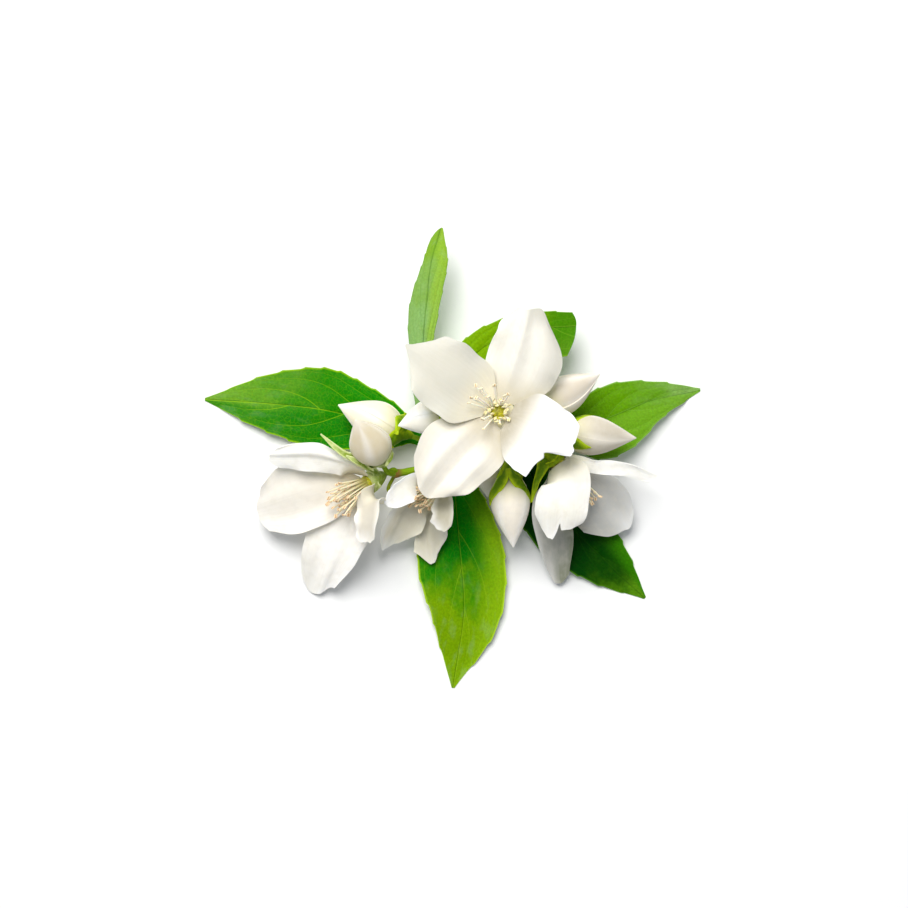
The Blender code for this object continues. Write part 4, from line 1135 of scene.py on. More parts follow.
def tuft_tree():
    """Grows a stamen to every point of a mesh: a bent, tapering filament with a two-lobed anther."""
    inputs = {
        "Filament Radius": "Float", "Anther Length": "Float", "Seed": "Int", "Filament Finish": "Material",
        "Anther Finish": "Material",
    }
    tree, add, given, result = new_tree("Stamens to points", inputs)
    place = add("InputPosition")
    marked = add(
        "StoreNamedAttribute", {"Geometry": given["Geometry"], "Name": "tip", "Value": place[0]}, **VECTORS
    )
    line = add("CurvePrimitiveLine", {"End": (0, 0, 0.001)})
    fine = add("ResampleCurve", {"Curve": line[0], "Count": THREAD_POINTS})
    lines = add("InstanceOnPoints", {"Points": marked[0], "Instance": fine[0]})
    real = add("RealizeInstances", {"Geometry": lines[0]})
    share = add("SplineParameter")[0]
    spots = {
        label: add("InputNamedAttribute", {"Name": label}, **VECTORS)[0]
        for label in ("root", "bend", "tip")
    }
    lower = add("Mix", {0: share, 4: spots["root"], 5: spots["bend"]}, data_type="VECTOR")[1]
    upper = add("Mix", {0: share, 4: spots["bend"], 5: spots["tip"]}, data_type="VECTOR")[1]
    curve = add("Mix", {0: share, 4: lower, 5: upper}, data_type="VECTOR")[1]
    bent = add("SetPosition", {"Geometry": real[0], "Position": curve})
    known = add("StoreNamedAttribute", {"Geometry": bent[0], "Name": "along", "Value": share})
    size = add("InputNamedAttribute", {"Name": "size"})
    taper = add("MapRange", {0: share, 3: 1.0, 4: THREAD_TAPER})
    radius = add("Math", {0: taper[0], 1: given["Filament Radius"]}, operation="MULTIPLY")
    scale = add("Math", {0: radius[0], 1: size[0]}, operation="MULTIPLY")
    ring = add("CurvePrimitiveCircle", {"Resolution": THREAD_SIDES, "Radius": 1.0})
    threads = add("CurveToMesh", {0: known[0], 1: ring[0], "Scale": scale[0], "Fill Caps": True})
    threads = add("SetMaterial", {"Geometry": threads[0], "Material": given["Filament Finish"]})
    anthers = anther_nodes(add, given, marked[0], spots, size[0])
    both = add("JoinGeometry", {0: [threads[0], anthers]})
    smooth = add("SetShadeSmooth", {"Geometry": both[0]})
    feed(result, smooth[0])
    return tree


def anther_nodes(add, given, points, spots, size):
    """The part of the stamen tree that sets an anther of two joined lobes on each point."""
    halves = []
    for side in (-1, 1):
        ball = add("MeshUVSphere", {"Segments": LOBE_SEGMENTS, "Rings": LOBE_RINGS, "Radius": 1.0})
        seat = (LOBE_OFF * side, 0, LOBE_UP)
        lobe = add("Transform", {"Geometry": ball[0], "Translation": seat, "Scale": LOBE_SIZE})
        halves.append(lobe[0])
    lobes = add("JoinGeometry", {0: halves})
    local = add("InputPosition")
    known = add("StoreNamedAttribute", {"Geometry": lobes[0], "Name": "lobe", "Value": local[0]}, **VECTORS)
    way = add("VectorMath", {0: spots["tip"], 1: spots["bend"]}, operation="SUBTRACT")
    tipped = add("RandomValue", {"Min": LEAST_TIP, "Max": MOST_TIP, "Seed": given["Seed"]}, **VECTORS)
    leaning = add("VectorMath", {0: way[0], 1: tipped[0]}, operation="ADD")
    turn = add("AlignRotationToVector", {"Vector": leaning[0]}, axis="Z")
    scale = add("Math", {0: given["Anther Length"], 1: size}, operation="MULTIPLY")
    set_on = add(
        "InstanceOnPoints", {"Points": points, "Instance": known[0], "Rotation": turn[0], "Scale": scale[0]}
    )
    real = add("RealizeInstances", {"Geometry": set_on[0]})
    return add("SetMaterial", {"Geometry": real[0], "Material": given["Anther Finish"]})[0]


# Finishes, each named for the real surface


def per_metre(millimetres):
    """How many grains of this size there are in a metre: a pattern's scale on object coordinates. The flat
    coordinates are in millimetres, so a pattern's scale on them is one over its size."""
    return 1 / (millimetres * METRES)


def new_finish(name, roughness, glow=None, **constants):
    """A material, and what adds its nodes. What is the same all over is set on the shader itself, such as
    its glow: how strongly light spreads in it, and how many millimetres far."""
    finish = bpy.data.materials.new(name)
    finish.use_nodes = True
    constants["Roughness"] = roughness
    if glow:
        constants["Subsurface_Weight"], constants["Subsurface_Scale"] = glow[0], glow[1] * METRES
    for label, value in constants.items():
        finish.node_tree.nodes["Principled BSDF"].inputs[label.replace("_", " ")].default_value = value
    return finish, node_adder(finish.node_tree)


def dressed(finish, add, colour, height=None, strength=0.0, depth=0.0, roughness=None):
    """The material with its colour and roughness, and a relief of this depth in millimetres."""
    shader = finish.node_tree.nodes["Principled BSDF"].inputs
    feed(shader["Base Color"], colour)
    if roughness is not None:
        feed(shader["Roughness"], roughness)
    if height is not None:
        relief = add("Bump", {"Strength": strength, "Distance": depth * METRES, "Height": height})
        feed(shader["Normal"], relief[0])
    return finish


def petal_finish(name, colours, streaks=PETAL_STREAKS):
    """Thin moist tissue, matt and a little see-through. Its colours are those of its middle, its left and
    right edges and its base, and hold painted shade: one edge is darker on the side turned from the lamp,
    and the base is partly a duller tint and partly painted shade. It is clouded, and faint lines run out
    from the duller base."""
    cream, left, right, base_tint_and_shade = colours
    finish, add = new_finish(
        name, 0.62, (0.25, PETAL_GLOW), Subsurface_Radius=GLOW_SHARES, Sheen_Weight=0.08
    )
    blade = add("Attribute", attribute_name="blade")["Vector"]
    across, share, _ = add("SeparateXYZ", {0: blade})
    side = add("Math", {0: across}, operation="ABSOLUTE")[0]
    rim = add("MapRange", {0: side, 1: 0.4, 2: 1.0}, **SMOOTH)[0]
    end = add("MapRange", {0: share, 1: 0.72, 2: 1.0}, **SMOOTH)[0]
    edge = add("Math", {0: rim, 1: end}, operation="MAXIMUM")[0]
    # Painted shade, partly a duller tint: the base darkens where shade gathers round the flower's middle.
    base = add("MapRange", {0: share, 1: 0.05, 2: 0.42, 3: 1.0, 4: 0.0}, **SMOOTH)[0]
    stretched = add("VectorMath", {0: blade, 1: PETAL_LINES}, operation="MULTIPLY")[0]
    lines = add("TexNoise", {"Vector": stretched, "Scale": 1.0, "Detail": 3.0})[0]
    faint = add("MapRange", {0: lines, 1: 0.42, 2: 0.72, 3: 0.0, 4: streaks})[0]
    # Painted light and shade: one edge takes the darker colour of the side turned from the lamp.
    side_shading = add("MapRange", {0: across, 1: -0.3, 2: 0.3})[0]
    white = add("Mix", {0: side_shading, 6: left, 7: right}, **COLOURS)[2]
    # The greyer middles are painted shade where a petal's inside lies in shade.
    body = add("Mix", {0: edge, 6: cream, 7: white}, **COLOURS)[2]
    with_base_tint_and_shade = add("Mix", {0: base, 6: body, 7: base_tint_and_shade}, **COLOURS)[2]
    lined = add("Mix", {0: faint, 6: with_base_tint_and_shade, 7: linear("D2CABC")}, **COLOURS)[2]
    flat = add("Attribute", attribute_name="flat")["Vector"]
    clouds = add("TexNoise", {"Vector": flat, "Scale": 1 / PETAL_CLOUD, "Detail": 5.0})[0]
    cloudy = add("MapRange", {0: clouds, 1: 0.45, 2: 0.75, 4: 0.35})[0]
    clouded = add("Mix", {0: cloudy, 6: lined, 7: linear("DDD7CC")}, **COLOURS)[2]
    return dressed(finish, add, clouded, lines, 0.35, 0.08)


def rib_masks(add, flat):
    """How much of a leaf's midrib, and of the painted shade in the crease beside it, shows at a spot."""
    flat_x = add("SeparateXYZ", {0: flat})[0]
    inner, outer = MIDRIB_WIDTH * 0.2, MIDRIB_WIDTH * 0.8
    masks = []
    for middle in (-MIDRIB_WIDTH / 2, MIDRIB_WIDTH / 2):
        off = add("Math", {0: flat_x, 1: middle}, operation="SUBTRACT")[0]
        away = add("Math", {0: off}, operation="ABSOLUTE")[0]
        masks.append(add("MapRange", {0: away, 1: inner, 2: outer, 3: 1.0, 4: 0.0}, **SMOOTH)[0])
    return masks


def side_vein_mask(add, across, share):
    """How much of a leaf's side veins shows at a spot. They run as vein_line says."""
    side = add("Math", {0: across}, operation="ABSOLUTE")[0]
    room = add("Math", {0: side, 1: -VEIN_BEND_REACH, 2: 1.0}, operation="MULTIPLY_ADD")[0]
    kept = add("Math", {0: room, 1: VEIN_LEAST_ROOM}, operation="MAXIMUM")[0]
    bend = add("Math", {0: kept, 1: math.e}, operation="LOGARITHM")[0]
    lift = add("Math", {0: bend, 1: LEAF_VEIN_CURL, 2: share}, operation="MULTIPLY_ADD")[0]
    right = add("Math", {0: across, 1: 0.0}, operation="GREATER_THAN")[0]
    shift = add("Math", {0: right, 1: 0.5}, operation="MULTIPLY")[0]
    count = add("Math", {0: lift, 1: LEAF_SIDE_VEINS, 2: shift}, operation="MULTIPLY_ADD")[0]
    phase = add("Math", {0: count, 1: 0.5}, operation="PINGPONG")[0]
    return add("MapRange", {0: phase, 1: 0.004, 2: 0.024, 3: 1.0, 4: 0.0}, **SMOOTH)[0]


def net_mask(add, flat):
    """How much of a leaf's fine wandering net of veins shows at a spot."""
    wander = add("TexNoise", {"Vector": flat, "Scale": 1 / NET_BEND, "Detail": 2.0})[1]
    bent = add("VectorMath", {0: wander, 1: NET_BEND_REACH, 2: flat}, operation="MULTIPLY_ADD")[0]
    cells = add("TexVoronoi", {"Vector": bent, "Scale": 1 / NET_CELL}, feature="DISTANCE_TO_EDGE")[0]
    return add("MapRange", {0: cells, 1: 0.0, 2: 0.08, 3: 1.0, 4: 0.0}, **SMOOTH)[0]


def leaf_greens(add, look, across, share, cloudy):
    """The green of a leaf's skin from base to tip, with painted light and shade on one half of the folded
    blade.
    """
    drift = add("Math", {0: cloudy, 1: 0.5, 2: -0.25}, operation="MULTIPLY_ADD")[0]
    place = add("Math", {0: share, 1: drift}, operation="ADD")[0]
    begin, full = look.tip_reach
    even = add("MapRange", {0: place, 1: begin, 2: full}, **SMOOTH)[0]
    way = add("Math", {0: even, 1: 1.6}, operation="POWER")[0]
    green = add("Mix", {0: way, 6: linear(look.base), 7: linear(look.tip)}, **COLOURS)[2]
    # Painted light and shade: one half of the folded blade is lighter where it faces the lamp and darker
    # where it turns from it.
    begin, full, strength = look.half_shading_reach
    wavy = add("Math", {0: across, 1: drift}, operation="ADD")[0]
    half_shading = add("MapRange", {0: wavy, 1: begin, 2: full, 4: strength}, **SMOOTH)[0]
    outer = add("MapRange", {0: share, 1: HALF_SHADING_FROM, 2: HALF_SHADING_FULL, 4: half_shading}, **SMOOTH)[0]
    return add("Mix", {0: outer, 6: green, 7: linear(look.half_shading)}, **COLOURS)[2]


def skin_grain(add, look, flat, green):
    """The leaf's green, lighter and darker from grain to grain of its skin."""
    grain = add("TexNoise", {"Vector": flat, "Scale": 1 / SKIN_GRAIN, "Detail": 2.0})[0]
    shade = add("MapRange", {0: grain, 1: 0.3, 2: 0.7, 3: 1 - 0.5 * look.grain, 4: 1 + 0.5 * look.grain})[0]
    grained = add("Mix", {0: 1.0, 6: green, 7: shade}, **COLOURS, blend_type="MULTIPLY")[2]
    return grain, grained


def sheen_painted_over(add, look, share, flat, green):
    """The leaf's green under patches of pale painted sheen, drawn out along the blade towards the tip."""
    drawn = (1 / SHEEN_PATCH[0], 1 / SHEEN_PATCH[1], 0.0)
    stretched = add("VectorMath", {0: flat, 1: drawn}, operation="MULTIPLY")[0]
    streaks = add("TexNoise", {"Vector": stretched, "Scale": 1.0, "Detail": 3.0})[0]
    outer = add("MapRange", {0: share, 1: 0.55, 2: 0.85, 4: look.painted_sheen})[0]
    patches = add("MapRange", {0: streaks, 1: 0.5, 2: 0.68, 4: outer}, **SMOOTH)[0]
    # A4C494 is the pale painted sheen.
    return add("Mix", {0: patches, 6: green, 7: linear("A4C494")}, **COLOURS)[2]


def veined(add, look, across, share, flat, green):
    """How much a leaf's veins show, and its green with them, painted shade in the midrib's crease and the
    paler rim.
    """
    rib, groove = rib_masks(add, flat)
    # The dark green beside the midrib is painted shade in its crease.
    shaded = add("Math", {0: groove, 1: 0.45}, operation="MULTIPLY")[0]
    crease_shaded = add("Mix", {0: shaded, 6: green, 7: linear("0A3A00")}, **COLOURS)[2]
    soft_net = add("Math", {0: net_mask(add, flat), 1: 0.24}, operation="MULTIPLY")[0]
    most = add("Math", {0: side_vein_mask(add, across, share), 1: rib}, operation="MAXIMUM")[0]
    all_veins = add("Math", {0: most, 1: soft_net}, operation="MAXIMUM")[0]
    veins = add("Math", {0: all_veins, 1: look.veins}, operation="MULTIPLY")[0]
    drawn = add("Mix", {0: veins, 6: crease_shaded, 7: linear(look.vein)}, **COLOURS)[2]
    side = add("Math", {0: across}, operation="ABSOLUTE")[0]
    rim = add("MapRange", {0: side, 1: 0.94, 2: 0.995, 3: 0.0, 4: 0.75}, **SMOOTH)[0]
    return veins, add("Mix", {0: rim, 6: drawn, 7: linear(look.vein)}, **COLOURS)[2]


def leaf_finish(name, look):
    """A young leaf's waxy skin: a satin shine over fine grain, patches of pale painted sheen and veins,
    matt below.
    """
    finish, add = new_finish(name, look.roughness, (0.06, 0.6), Specular_IOR_Level=0.04)
    blade = add("Attribute", attribute_name="blade")["Vector"]
    flat = add("Attribute", attribute_name="flat")["Vector"]
    across, share, under = add("SeparateXYZ", {0: blade})
    cloudy = add("TexNoise", {"Vector": flat, "Scale": 1 / LEAF_CLOUD, "Detail": 3.0, "Roughness": 0.6})[0]
    green = leaf_greens(add, look, across, share, cloudy)
    grain, grained = skin_grain(add, look, flat, green)
    pale = sheen_painted_over(add, look, share, flat, grained)
    veins, rimmed = veined(add, look, across, share, flat, pale)
    below = add("Math", {0: under, 1: 0.8}, operation="MULTIPLY")[0]
    both = add("Mix", {0: below, 6: rimmed, 7: linear(look.underside)}, **COLOURS)[2]
    wax = add("MapRange", {0: grain, 1: 0.3, 2: 0.7, 3: look.roughness, 4: look.roughness + 0.16})[0]
    dull = add("Mix", {0: under, 2: wax, 3: 0.65})[0]
    sunk = add("Math", {0: veins, 1: -1.0, 2: grain}, operation="MULTIPLY_ADD")[0]
    return dressed(finish, add, both, sunk, 0.5, 0.15, dull)


def sepal_finish(name, dark, light):
    """The green skin of a cup and its sepals: dull and a little downy, paler along the edges and ridge."""
    finish, add = new_finish(name, 0.6, (0.05, 0.5), Specular_IOR_Level=0.15)
    blade = add("Attribute", attribute_name="blade")["Vector"]
    across, share, _ = add("SeparateXYZ", {0: blade})
    side = add("Math", {0: across}, operation="ABSOLUTE")[0]
    rim = add("MapRange", {0: side, 1: 0.35, 2: 0.95}, **SMOOTH)[0]
    end = add("MapRange", {0: share, 1: 0.5, 2: 1.0, 3: 0.0, 4: 0.8}, **SMOOTH)[0]
    edge = add("Math", {0: rim, 1: end}, operation="MAXIMUM")[0]
    place = add("TexCoord")["Object"]
    down = add("TexNoise", {"Vector": place, "Scale": per_metre(SEPAL_DOWN), "Detail": 3.0})[0]
    speckle = add("MapRange", {0: down, 1: 0.3, 2: 0.7, 3: -0.25, 4: 0.25})[0]
    mixed = add("Math", {0: edge, 1: speckle}, operation="ADD", use_clamp=True)[0]
    green = add("Mix", {0: mixed, 6: dark, 7: light}, **COLOURS)[2]
    return dressed(finish, add, green, down, 0.4, 0.08)


def rib_finish(name, colour):
    """A leaf's pale stalk and midrib: smooth and slightly waxy, with faint lengthwise streaks."""
    finish, add = new_finish(name + " pale rib", 0.5)
    place = add("TexCoord")["Object"]
    streaks = add("TexNoise", {"Vector": place, "Scale": per_metre(RIB_STREAK)})[0]
    faint = add("MapRange", {0: streaks, 1: 0.3, 2: 0.7, 3: 0.0, 4: 0.4})[0]
    mixed = add("Mix", {0: faint, 6: colour, 7: linear("5E8A1C")}, **COLOURS)
    return dressed(finish, add, mixed[2])


def bark_finish(stem):
    """Young green bark: dull, with fine ridges along it, and reddish brown at its joints."""
    finish, add = new_finish("young green bark", 0.6, Specular_IOR_Level=0.15)
    place = add("TexCoord")["Object"]
    ridges = add("TexNoise", {"Vector": place, "Scale": per_metre(BARK_RIDGE), "Detail": 4.0})[0]
    brown = add("Attribute", attribute_name="brown")["Fac"]
    patch = add("Math", {0: ridges, 1: 0.6, 2: -0.3}, operation="MULTIPLY_ADD")[0]
    rusty = add("Math", {0: brown, 1: patch}, operation="ADD", use_clamp=True)[0]
    colour = add("Mix", {0: rusty, 6: stem.green, 7: stem.brown}, **COLOURS)[2]
    return dressed(finish, add, colour, ridges, 0.5, 0.1)


def thread_finish(name, root, tip, reach):
    """The threads that carry the anthers: smooth and moist, green at the root and cream past the share of
    their length called reach."""
    finish, add = new_finish(name, 0.5, (0.15, 0.4))
    share = add("Attribute", attribute_name="along")["Fac"]
    rise = add("MapRange", {0: share, 1: 0.0, 2: reach}, **SMOOTH)[0]
    colour = add("Mix", {0: rise, 6: root, 7: tip}, **COLOURS)
    return dressed(finish, add, colour[2])


def anther_finish(name, pollen, seam):
    """The pollen sacs: powdery cream lobes with a tan seam between them."""
    finish, add = new_finish(name, 0.85, Sheen_Weight=0.1)
    lobe = add("Attribute", attribute_name="lobe")["Vector"]
    lobe_x, _, _ = add("SeparateXYZ", {0: lobe})
    off = add("Math", {0: lobe_x}, operation="ABSOLUTE")[0]
    groove = add("MapRange", {0: off, 1: 0.05, 2: 0.32, 3: 1.0, 4: 0.0}, **SMOOTH)[0]
    powder = add("TexNoise", {"Vector": lobe, "Scale": 7.0, "Detail": 2.0})[0]
    grain = add("MapRange", {0: powder, 1: 0.3, 2: 0.8, 3: -0.1, 4: 0.3})[0]
    tan = add("Math", {0: groove, 1: grain}, operation="ADD", use_clamp=True)[0]
    colour = add("Mix", {0: tan, 6: pollen, 7: seam}, **COLOURS)[2]
    return dressed(finish, add, colour, powder, 0.4, 0.04)


def disc_finish():
    """The nectar disc: moist, warty olive skin."""
    finish, add = new_finish("nectar disc skin", 0.45, (0.1, 0.4))
    place = add("TexCoord")["Object"]
    warts = add("TexNoise", {"Vector": place, "Scale": per_metre(DISC_WART), "Detail": 2.0})[0]
    rise = add("MapRange", {0: warts, 1: 0.35, 2: 0.65})[0]
    colour = add("Mix", {0: rise, 6: linear("8C8600"), 7: linear("D2CE2C")}, **COLOURS)[2]
    return dressed(finish, add, colour, warts, 0.6, 0.1)


def table_finish(colour):
    """Matt white card, with the faint tooth of its fibres."""
    finish, add = new_finish("matt white card", 0.9, Specular_IOR_Level=0.1)
    place = add("TexCoord")["Object"]
    fibres = add("TexNoise", {"Vector": place, "Scale": per_metre(CARD_FIBRE)})[0]
    return dressed(finish, add, colour, fibres, 0.05, 0.02)


# Where petals sit and stamens stand


def seated_blade(name, flower, blade):
    """A petal whose base sits on the flower's seat, on the side that the petal leaves it by."""
    centre, axis = flower.mouth()
    first = Vector(blade.spine[0]) - centre
    out = (first - axis * first.dot(axis)).normalized()
    height = SEAT_HEIGHT + UPPER_PETALS.get(name, 0.0)
    seat = centre + out * (SEAT_RADIUS * flower.size) + axis * height
    side = out.cross(axis)
    if side.dot((first + centre - seat).cross(UP)) < 0:
        side = -side
    return replace(blade, spine=[seat] + as_vectors(blade.spine), seat_side=side)


def tuft_mesh(name, spots):
    """A mesh of stamen tips. Each spot is its root, bend and tip in millimetres, and its size."""
    mesh = bpy.data.meshes.new(name)
    mesh.from_pydata([tip * METRES for _, _, tip, _ in spots], [], [])
    for label, column in (("root", 0), ("bend", 1)):
        values = [number * METRES for spot in spots for number in spot[column]]
        mesh.attributes.new(label, "FLOAT_VECTOR", "POINT").data.foreach_set("vector", values)
    mesh.attributes.new("size", "FLOAT", "POINT").data.foreach_set("value", [spot[3] for spot in spots])
    return mesh


def loose_spots(flower):
    """A tuft's stamens, spread by the golden angle and leaning as the flower's do. The outer ones are a
    little shorter, and their anthers larger."""
    centre, axis = flower.mouth()
    least, more = TUFT_SIZES
    spots = []
    for index in range(flower.stamens):
        share = (index + 0.5) / flower.stamens
        angle = index * GOLDEN_ANGLE
        way = way_round(axis, angle)
        out = TUFT_CORE + flower.spread * share
        varied = 1 - TUFT_VARY + TUFT_VARY * math.cos(TUFT_ROUNDS * angle)
        height = flower.reach * varied - TUFT_DROOP * out
        root = centre + way * (TUFT_ROOT * flower.size) + axis * TUFT_ROOT_UP
        flare = TUFT_BEND * flower.size + TUFT_FLARE * out
        bend = centre + way * flare + axis * (height * 0.5)
        tip = centre + way * out + axis * height + Vector(flower.lean) * (height / flower.reach)
        spots.append((root, bend, tip, least + more * share))
    return spots


def placed_spots(flower):
    """The main flower's long stamens, whose anthers stand where the photograph shows them."""
    centre = Vector(flower.centre)
    (root_out, root_up), (bend_share, bend_up) = LONG_ROOT, LONG_BEND
    least, more = LONG_SIZES
    spots = []
    for index, offset in enumerate(MAIN_ANTHERS):
        tip = centre + Vector(offset)
        way = Vector((offset[0], offset[1], 0)).normalized()
        root = centre + way * root_out + UP * root_up
        bend = root.lerp(tip, bend_share) + UP * bend_up
        spots.append((root, bend, tip, least + more * (index % 3)))
    return spots


def short_spots(flower):
    """The three rings of short thick stamens that stand round the main flower's disc."""
    centre = Vector(flower.centre)
    spots = []
    for index in range(SHORT_STAMENS):
        angle = math.tau * index / SHORT_STAMENS
        way = Vector((math.cos(angle), math.sin(angle), 0))
        tip_out, tip_up = (first + ring * (index % 3) for first, ring in zip(SHORT_TIP, SHORT_RING))
        root = centre + way * SHORT_ROOT[0] + UP * SHORT_ROOT[1]
        tip = centre + way * tip_out + UP * tip_up
        spots.append((root, root.lerp(tip, 0.5) + UP * SHORT_BEND, tip, SHORT_SIZE))
    return spots


# Operators, in the order that they run in


class SPRIG_OT_lay_table(bpy.types.Operator):
    """Lays the pale table and sets the soft lamp, the sky and the camera over it"""

    bl_idname = "sprig.lay_table"
    bl_label = "Lay Table"

    def execute(self, context):
        stage = context.scene.sprig.stage
        half = TABLE_SIDE / 2
        mesh = bpy.data.meshes.new("table")
        corners = [(-half, -half, 0), (half, -half, 0), (half, half, 0), (-half, half, 0)]
        mesh.from_pydata(corners, [], [(0, 1, 2, 3)])
        mesh.materials.append(table_finish(stage.table))
        table = bpy.data.objects.new("table", mesh)
        context.scene.collection.objects.link(table)
        self.add_lights(context, stage)
        self.add_camera(context)
        return {"FINISHED"}

    def add_lights(self, context, stage):
        """The large lamp, which points at the sprig, and the even sky."""
        lamp = bpy.data.lights.new("soft lamp", "AREA")
        lamp.shape = "DISK"
        lamp.size = LAMP_SIZE
        lamp.energy = stage.key_power
        lamp.color = LAMP_COLOUR
        holder = bpy.data.objects.new("soft lamp", lamp)
        holder.location = LAMP_PLACE
        holder.rotation_euler = (-Vector(LAMP_PLACE)).to_track_quat("-Z", "Y").to_euler()
        context.scene.collection.objects.link(holder)
        world = bpy.data.worlds.new("pale sky")
        world.use_nodes = True
        sky = world.node_tree.nodes["Background"]
        sky.inputs["Color"].default_value = (*SKY_COLOUR, 1.0)
        sky.inputs["Strength"].default_value = stage.sky
        context.scene.world = world
        context.scene.view_settings.view_transform = "Standard"

    def add_camera(self, context):
        """A camera that looks straight down, and sees as much of the table as the photograph does."""
        camera = bpy.data.cameras.new("camera")
        camera.sensor_width = SENSOR
        camera.lens = SENSOR * CAMERA_PLACE[2] / (PHOTO_SIDE * PIXEL)
        camera.clip_start = 0.01
        holder = bpy.data.objects.new("camera", camera)
        holder.location = Vector(CAMERA_PLACE) * METRES
        context.scene.collection.objects.link(holder)
        context.scene.camera = holder


class SPRIG_OT_grow_stem(bpy.types.Operator):
    """Grows the woody stem, its side stalks and the small twig from one tree"""

    bl_idname = "sprig.grow_stem"
    bl_label = "Grow Stem"

    def execute(self, context):
        stem = context.scene.sprig.stem
        shares = [step / STEM_STEPS for step in range(STEM_STEPS + 1)]
        brown = [sum(bump_at(share, joint, JOINT_LENGTH) for joint in STEM_JOINTS) for share in shares]
        radii = [along(STEM_RADII, share) + JOINT_SWELL * swell for share, swell in zip(shares, brown)]
        paths = [(smooth_path(STEM_PATH, STEM_STEPS), radii, brown)]
        thick, taper = STALK_TAPER
        for name, path in STALKS.items():
            foot, axis = cup_foot(name)
            ends = [foot - axis * STALK_LEAD, foot + axis * STALK_SINK]
            thins = [STALK_RADIUS * (thick - taper * step / STALK_STEPS) for step in range(STALK_STEPS + 1)]
            paths.append((smooth_path(path + ends, STALK_STEPS), thins, [0.0] * len(thins)))
        twig = smooth_path(TWIG_PATH, TWIG_STEPS)
        paths.append((twig, [TWIG_RADIUS] * len(twig), [TWIG_BROWN] * len(twig)))
        settings = {
            "Sides": stem.sides, "Bark": stem.bark, "Grain": stem.grain, "Bark Finish": bark_finish(stem)
        }
        piece = grown("stem_bark", path_mesh("stem_bark", paths), stalk_tree(), settings)
        settle(piece, "stem", "stem")
        return {"FINISHED"}


class SPRIG_OT_grow_leaves(bpy.types.Operator):
    """Shapes the six leaves, each with its veins, teeth and finish, and the ribs under them"""

    bl_idname = "sprig.grow_leaves"
    bl_label = "Grow Leaves"

    def execute(self, context):
        leaves = context.scene.sprig.leaves
        thickness = (leaves.middle / METRES, leaves.edge / METRES)
        ribs = stalk_tree()
        for number, (name, blade) in enumerate(LEAVES.items()):
            skin = {
                "relief": leaf_relief, "depth": leaves.vein_depth / METRES,
                "spacing": leaves.tooth_spacing / METRES, "seed": number,
            }
            body = fine_sheet(blade, LEAF_GRID, thickness, skin, on_table=True)
            look = LEAF_LOOKS[name]
            finish = leaf_finish(name + " waxy skin", look)
            settle(mesh_object(name + "_blade", body, finish), look.slot, name)
            self.add_rib(name, blade, leaves.rib / METRES, ribs, look)
        return {"FINISHED"}

    def add_rib(self, name, blade, radius, tree, look):
        """The leaf's stalk, which runs on under the blade as its midrib."""
        spine = as_vectors(blade.spine)
        back = (spine[0] - spine[1]).normalized()
        places, radii = [spine[0] + back * LEAF_STALK], [radius]
        for step in range(RIB_STEPS):
            share = step / RIB_STEPS
            here, _, _, face = sheet_frame(blade, spine, share, UP)
            thick = radius * (1 - share) ** RIB_TAPER + RIB_END
            place = here - face * (RIB_DROP + 0.5 * thick)
            place.z = max(place.z, thick)
            places.append(place)
            radii.append(thick)
        finish = rib_finish(name, linear(look.underside))
        settings = {"Sides": RIB_SIDES, "Bark": RIB_BARK, "Grain": RIB_GRAIN, "Bark Finish": finish}
        mesh = path_mesh(name + "_rib", [(places, radii, [0.0] * len(places))])
        settle(grown(name + "_rib", mesh, tree, settings), look.slot)


class SPRIG_OT_grow_petals(bpy.types.Operator):
    """Shapes the four petals of each flower with their creases, ripples and pleats"""

    bl_idname = "sprig.grow_petals"
    bl_label = "Grow Petals"

    def execute(self, context):
        petals = context.scene.sprig.petals
        thickness = (petals.middle / METRES, petals.edge / METRES)
        for flower_name, flower in FLOWERS.items():
            for petal_name, blade in flower.petals.items():
                name = f"{flower_name}_petal_{petal_name}"
                finish = petal_finish(
                    name.replace("_", " ") + " tissue", tinted(PETAL_COLOURS_AND_SHADE[name], petals.tint)
                )
                skin = {"depth": petals.pleat / METRES, "fray": FRAY, "seed": len(name) + blade.left[2]}
                body = fine_sheet(seated_blade(name, flower, blade), PETAL_GRID, thickness, skin)
                settle(mesh_object(name + "_tissue", body, finish), "petal", name)
        return {"FINISHED"}


class SPRIG_OT_grow_cups(bpy.types.Operator):
    """Turns the green cup of each flower and bud, with its sepals, the discs and the bracts"""

    bl_idname = "sprig.grow_cups"
    bl_label = "Grow Cups"

    def execute(self, context):
        green = sepal_finish("downy sepal skin", linear("608602"), linear("B0C814"))
        pale = sepal_finish("pale bract skin", linear("8FA63A"), linear("D3DC9A"))
        disc = disc_finish()
        seat = petal_finish("pale flower seat", [linear(code) for code in SEAT_COLOURS])
        for name, flower in FLOWERS.items():
            finish = pale if name in PALE_CUPS else green
            settle(mesh_object(name + "_calyx", flower_cup(flower), finish), "sepal", name + "_cup")
            settle(mesh_object(name + "_disc", flower_disc(flower), disc), "sepal")
        settle(mesh_object("main_seat", flower_seat(FLOWERS["main"]), seat), "petal")
        for name, bud in BUDS.items():
            finish = pale if name in PALE_CUPS else green
            settle(mesh_object(name + "_calyx", bud_cup(bud), finish), "sepal", name + "_cup")
        for name, spine in BRACTS.items():
            bract = Blade(spine, BRACT_HALF_WIDTHS, BRACT_HALF_WIDTHS, cup=0.3)
            settle(mesh_object(name, fine_sheet(bract, SEPAL_GRID, THIN_SEPAL), pale), "sepal")
        sepal = Blade(LONG_SEPAL, LONG_SEPAL_HALF_WIDTHS, LONG_SEPAL_HALF_WIDTHS, cup=-0.3)
        body = fine_sheet(sepal, SEPAL_GRID, SEPAL_THICKNESS)
        settle(mesh_object("right_long_sepal", body, green), "sepal")
        return {"FINISHED"}


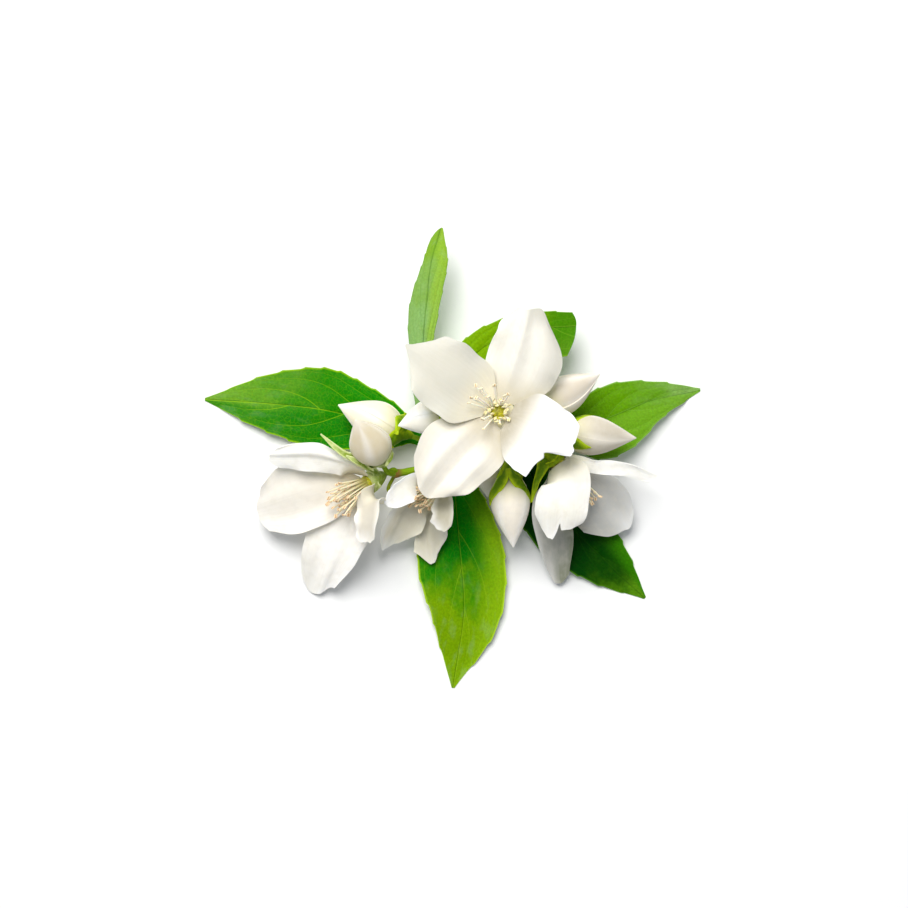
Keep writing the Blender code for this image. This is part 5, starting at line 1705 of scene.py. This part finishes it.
class SPRIG_OT_grow_buds(bpy.types.Operator):
    """Wraps the white petals of each closed bud"""

    bl_idname = "sprig.grow_buds"
    bl_label = "Grow Buds"

    def execute(self, context):
        tint = context.scene.sprig.petals.tint
        for name, bud in BUDS.items():
            cream, white = BUD_COLOURS_AND_SHADE[name]
            colours = tinted((cream, white, white, BUD_CLAW), tint)
            finish = petal_finish(name.replace("_", " ") + " tissue", colours, BUD_STREAKS)
            settle(mesh_object(name + "_petals", bud_body(bud), finish), "petal", name + "_body")
        return {"FINISHED"}


class SPRIG_OT_grow_stamens(bpy.types.Operator):
    """Grows each flower's tuft of stamens from one tree"""

    bl_idname = "sprig.grow_stamens"
    bl_label = "Grow Stamens"

    def execute(self, context):
        stamens = context.scene.sprig.stamens
        tree = tuft_tree()
        fresh = {
            "Filament Radius": stamens.filament, "Anther Length": stamens.anther, "Seed": stamens.seed,
            "Filament Finish": thread_finish("filament thread", stamens.root, stamens.thread, 0.35),
            "Anther Finish": anther_finish("pollen sac", stamens.pollen, stamens.seam),
        }
        ripe_thread = thread_finish("ripe filament thread", linear("9A9238"), linear("F2E6C4"), 0.7)
        ripe_sac = anther_finish("ripe pollen sac", linear("F6DDB4"), linear("C8986A"))
        ripe = {**fresh, "Filament Finish": ripe_thread, "Anther Finish": ripe_sac}
        young_sac = anther_finish("young pollen sac", linear("FFF6C0"), linear("F0D890"))
        young = {**fresh, "Filament Radius": stamens.filament * SHORT_THICKNESS, "Anther Finish": young_sac}
        short = tuft_mesh("main_short_stamens", short_spots(FLOWERS["main"]))
        settle(grown("main_short_stamens", short, tree, young), "stamen")
        for name, flower in FLOWERS.items():
            spots = loose_spots(flower) if flower.stamens else placed_spots(flower)
            tuft = tuft_mesh(name + "_tuft", spots)
            piece = grown(name + "_tuft", tuft, tree, ripe if flower.stamens else fresh)
            settle(piece, "stamen", name + "_stamens")
        return {"FINISHED"}


OPERATORS = (
    SPRIG_OT_lay_table, SPRIG_OT_grow_stem, SPRIG_OT_grow_leaves, SPRIG_OT_grow_petals, SPRIG_OT_grow_cups,
    SPRIG_OT_grow_buds, SPRIG_OT_grow_stamens,
)


class SPRIG_PT_sidebar(bpy.types.Panel):
    """Lists the sprig's settings and the operators that build it"""

    bl_idname = "SPRIG_PT_sidebar"
    bl_label = "Jasmine Flower Sprig"
    bl_space_type = "VIEW_3D"
    bl_region_type = "UI"
    bl_category = "Sprig"

    def draw(self, context):
        sprig = context.scene.sprig
        for operator in OPERATORS:
            self.layout.operator(operator.bl_idname)
        for group in (sprig.petals, sprig.leaves, sprig.stem, sprig.stamens, sprig.stage):
            box = self.layout.box()
            for label in group.__annotations__:
                box.prop(group, label)


CLASSES = (
    SprigPetalSettings, SprigLeafSettings, SprigStemSettings, SprigStamenSettings, SprigStageSettings,
    SprigSettings, *OPERATORS, SPRIG_PT_sidebar,
)


def register():
    for kind in CLASSES:
        bpy.utils.register_class(kind)
    bpy.types.Scene.sprig = PointerProperty(type=SprigSettings)


def unregister():
    del bpy.types.Scene.sprig
    for kind in reversed(CLASSES):
        bpy.utils.unregister_class(kind)


def main():
    register()
    bpy.ops.sprig.lay_table()
    bpy.ops.sprig.grow_stem()
    bpy.ops.sprig.grow_leaves()
    bpy.ops.sprig.grow_petals()
    bpy.ops.sprig.grow_cups()
    bpy.ops.sprig.grow_buds()
    bpy.ops.sprig.grow_stamens()


if __name__ == "__main__":
    main()
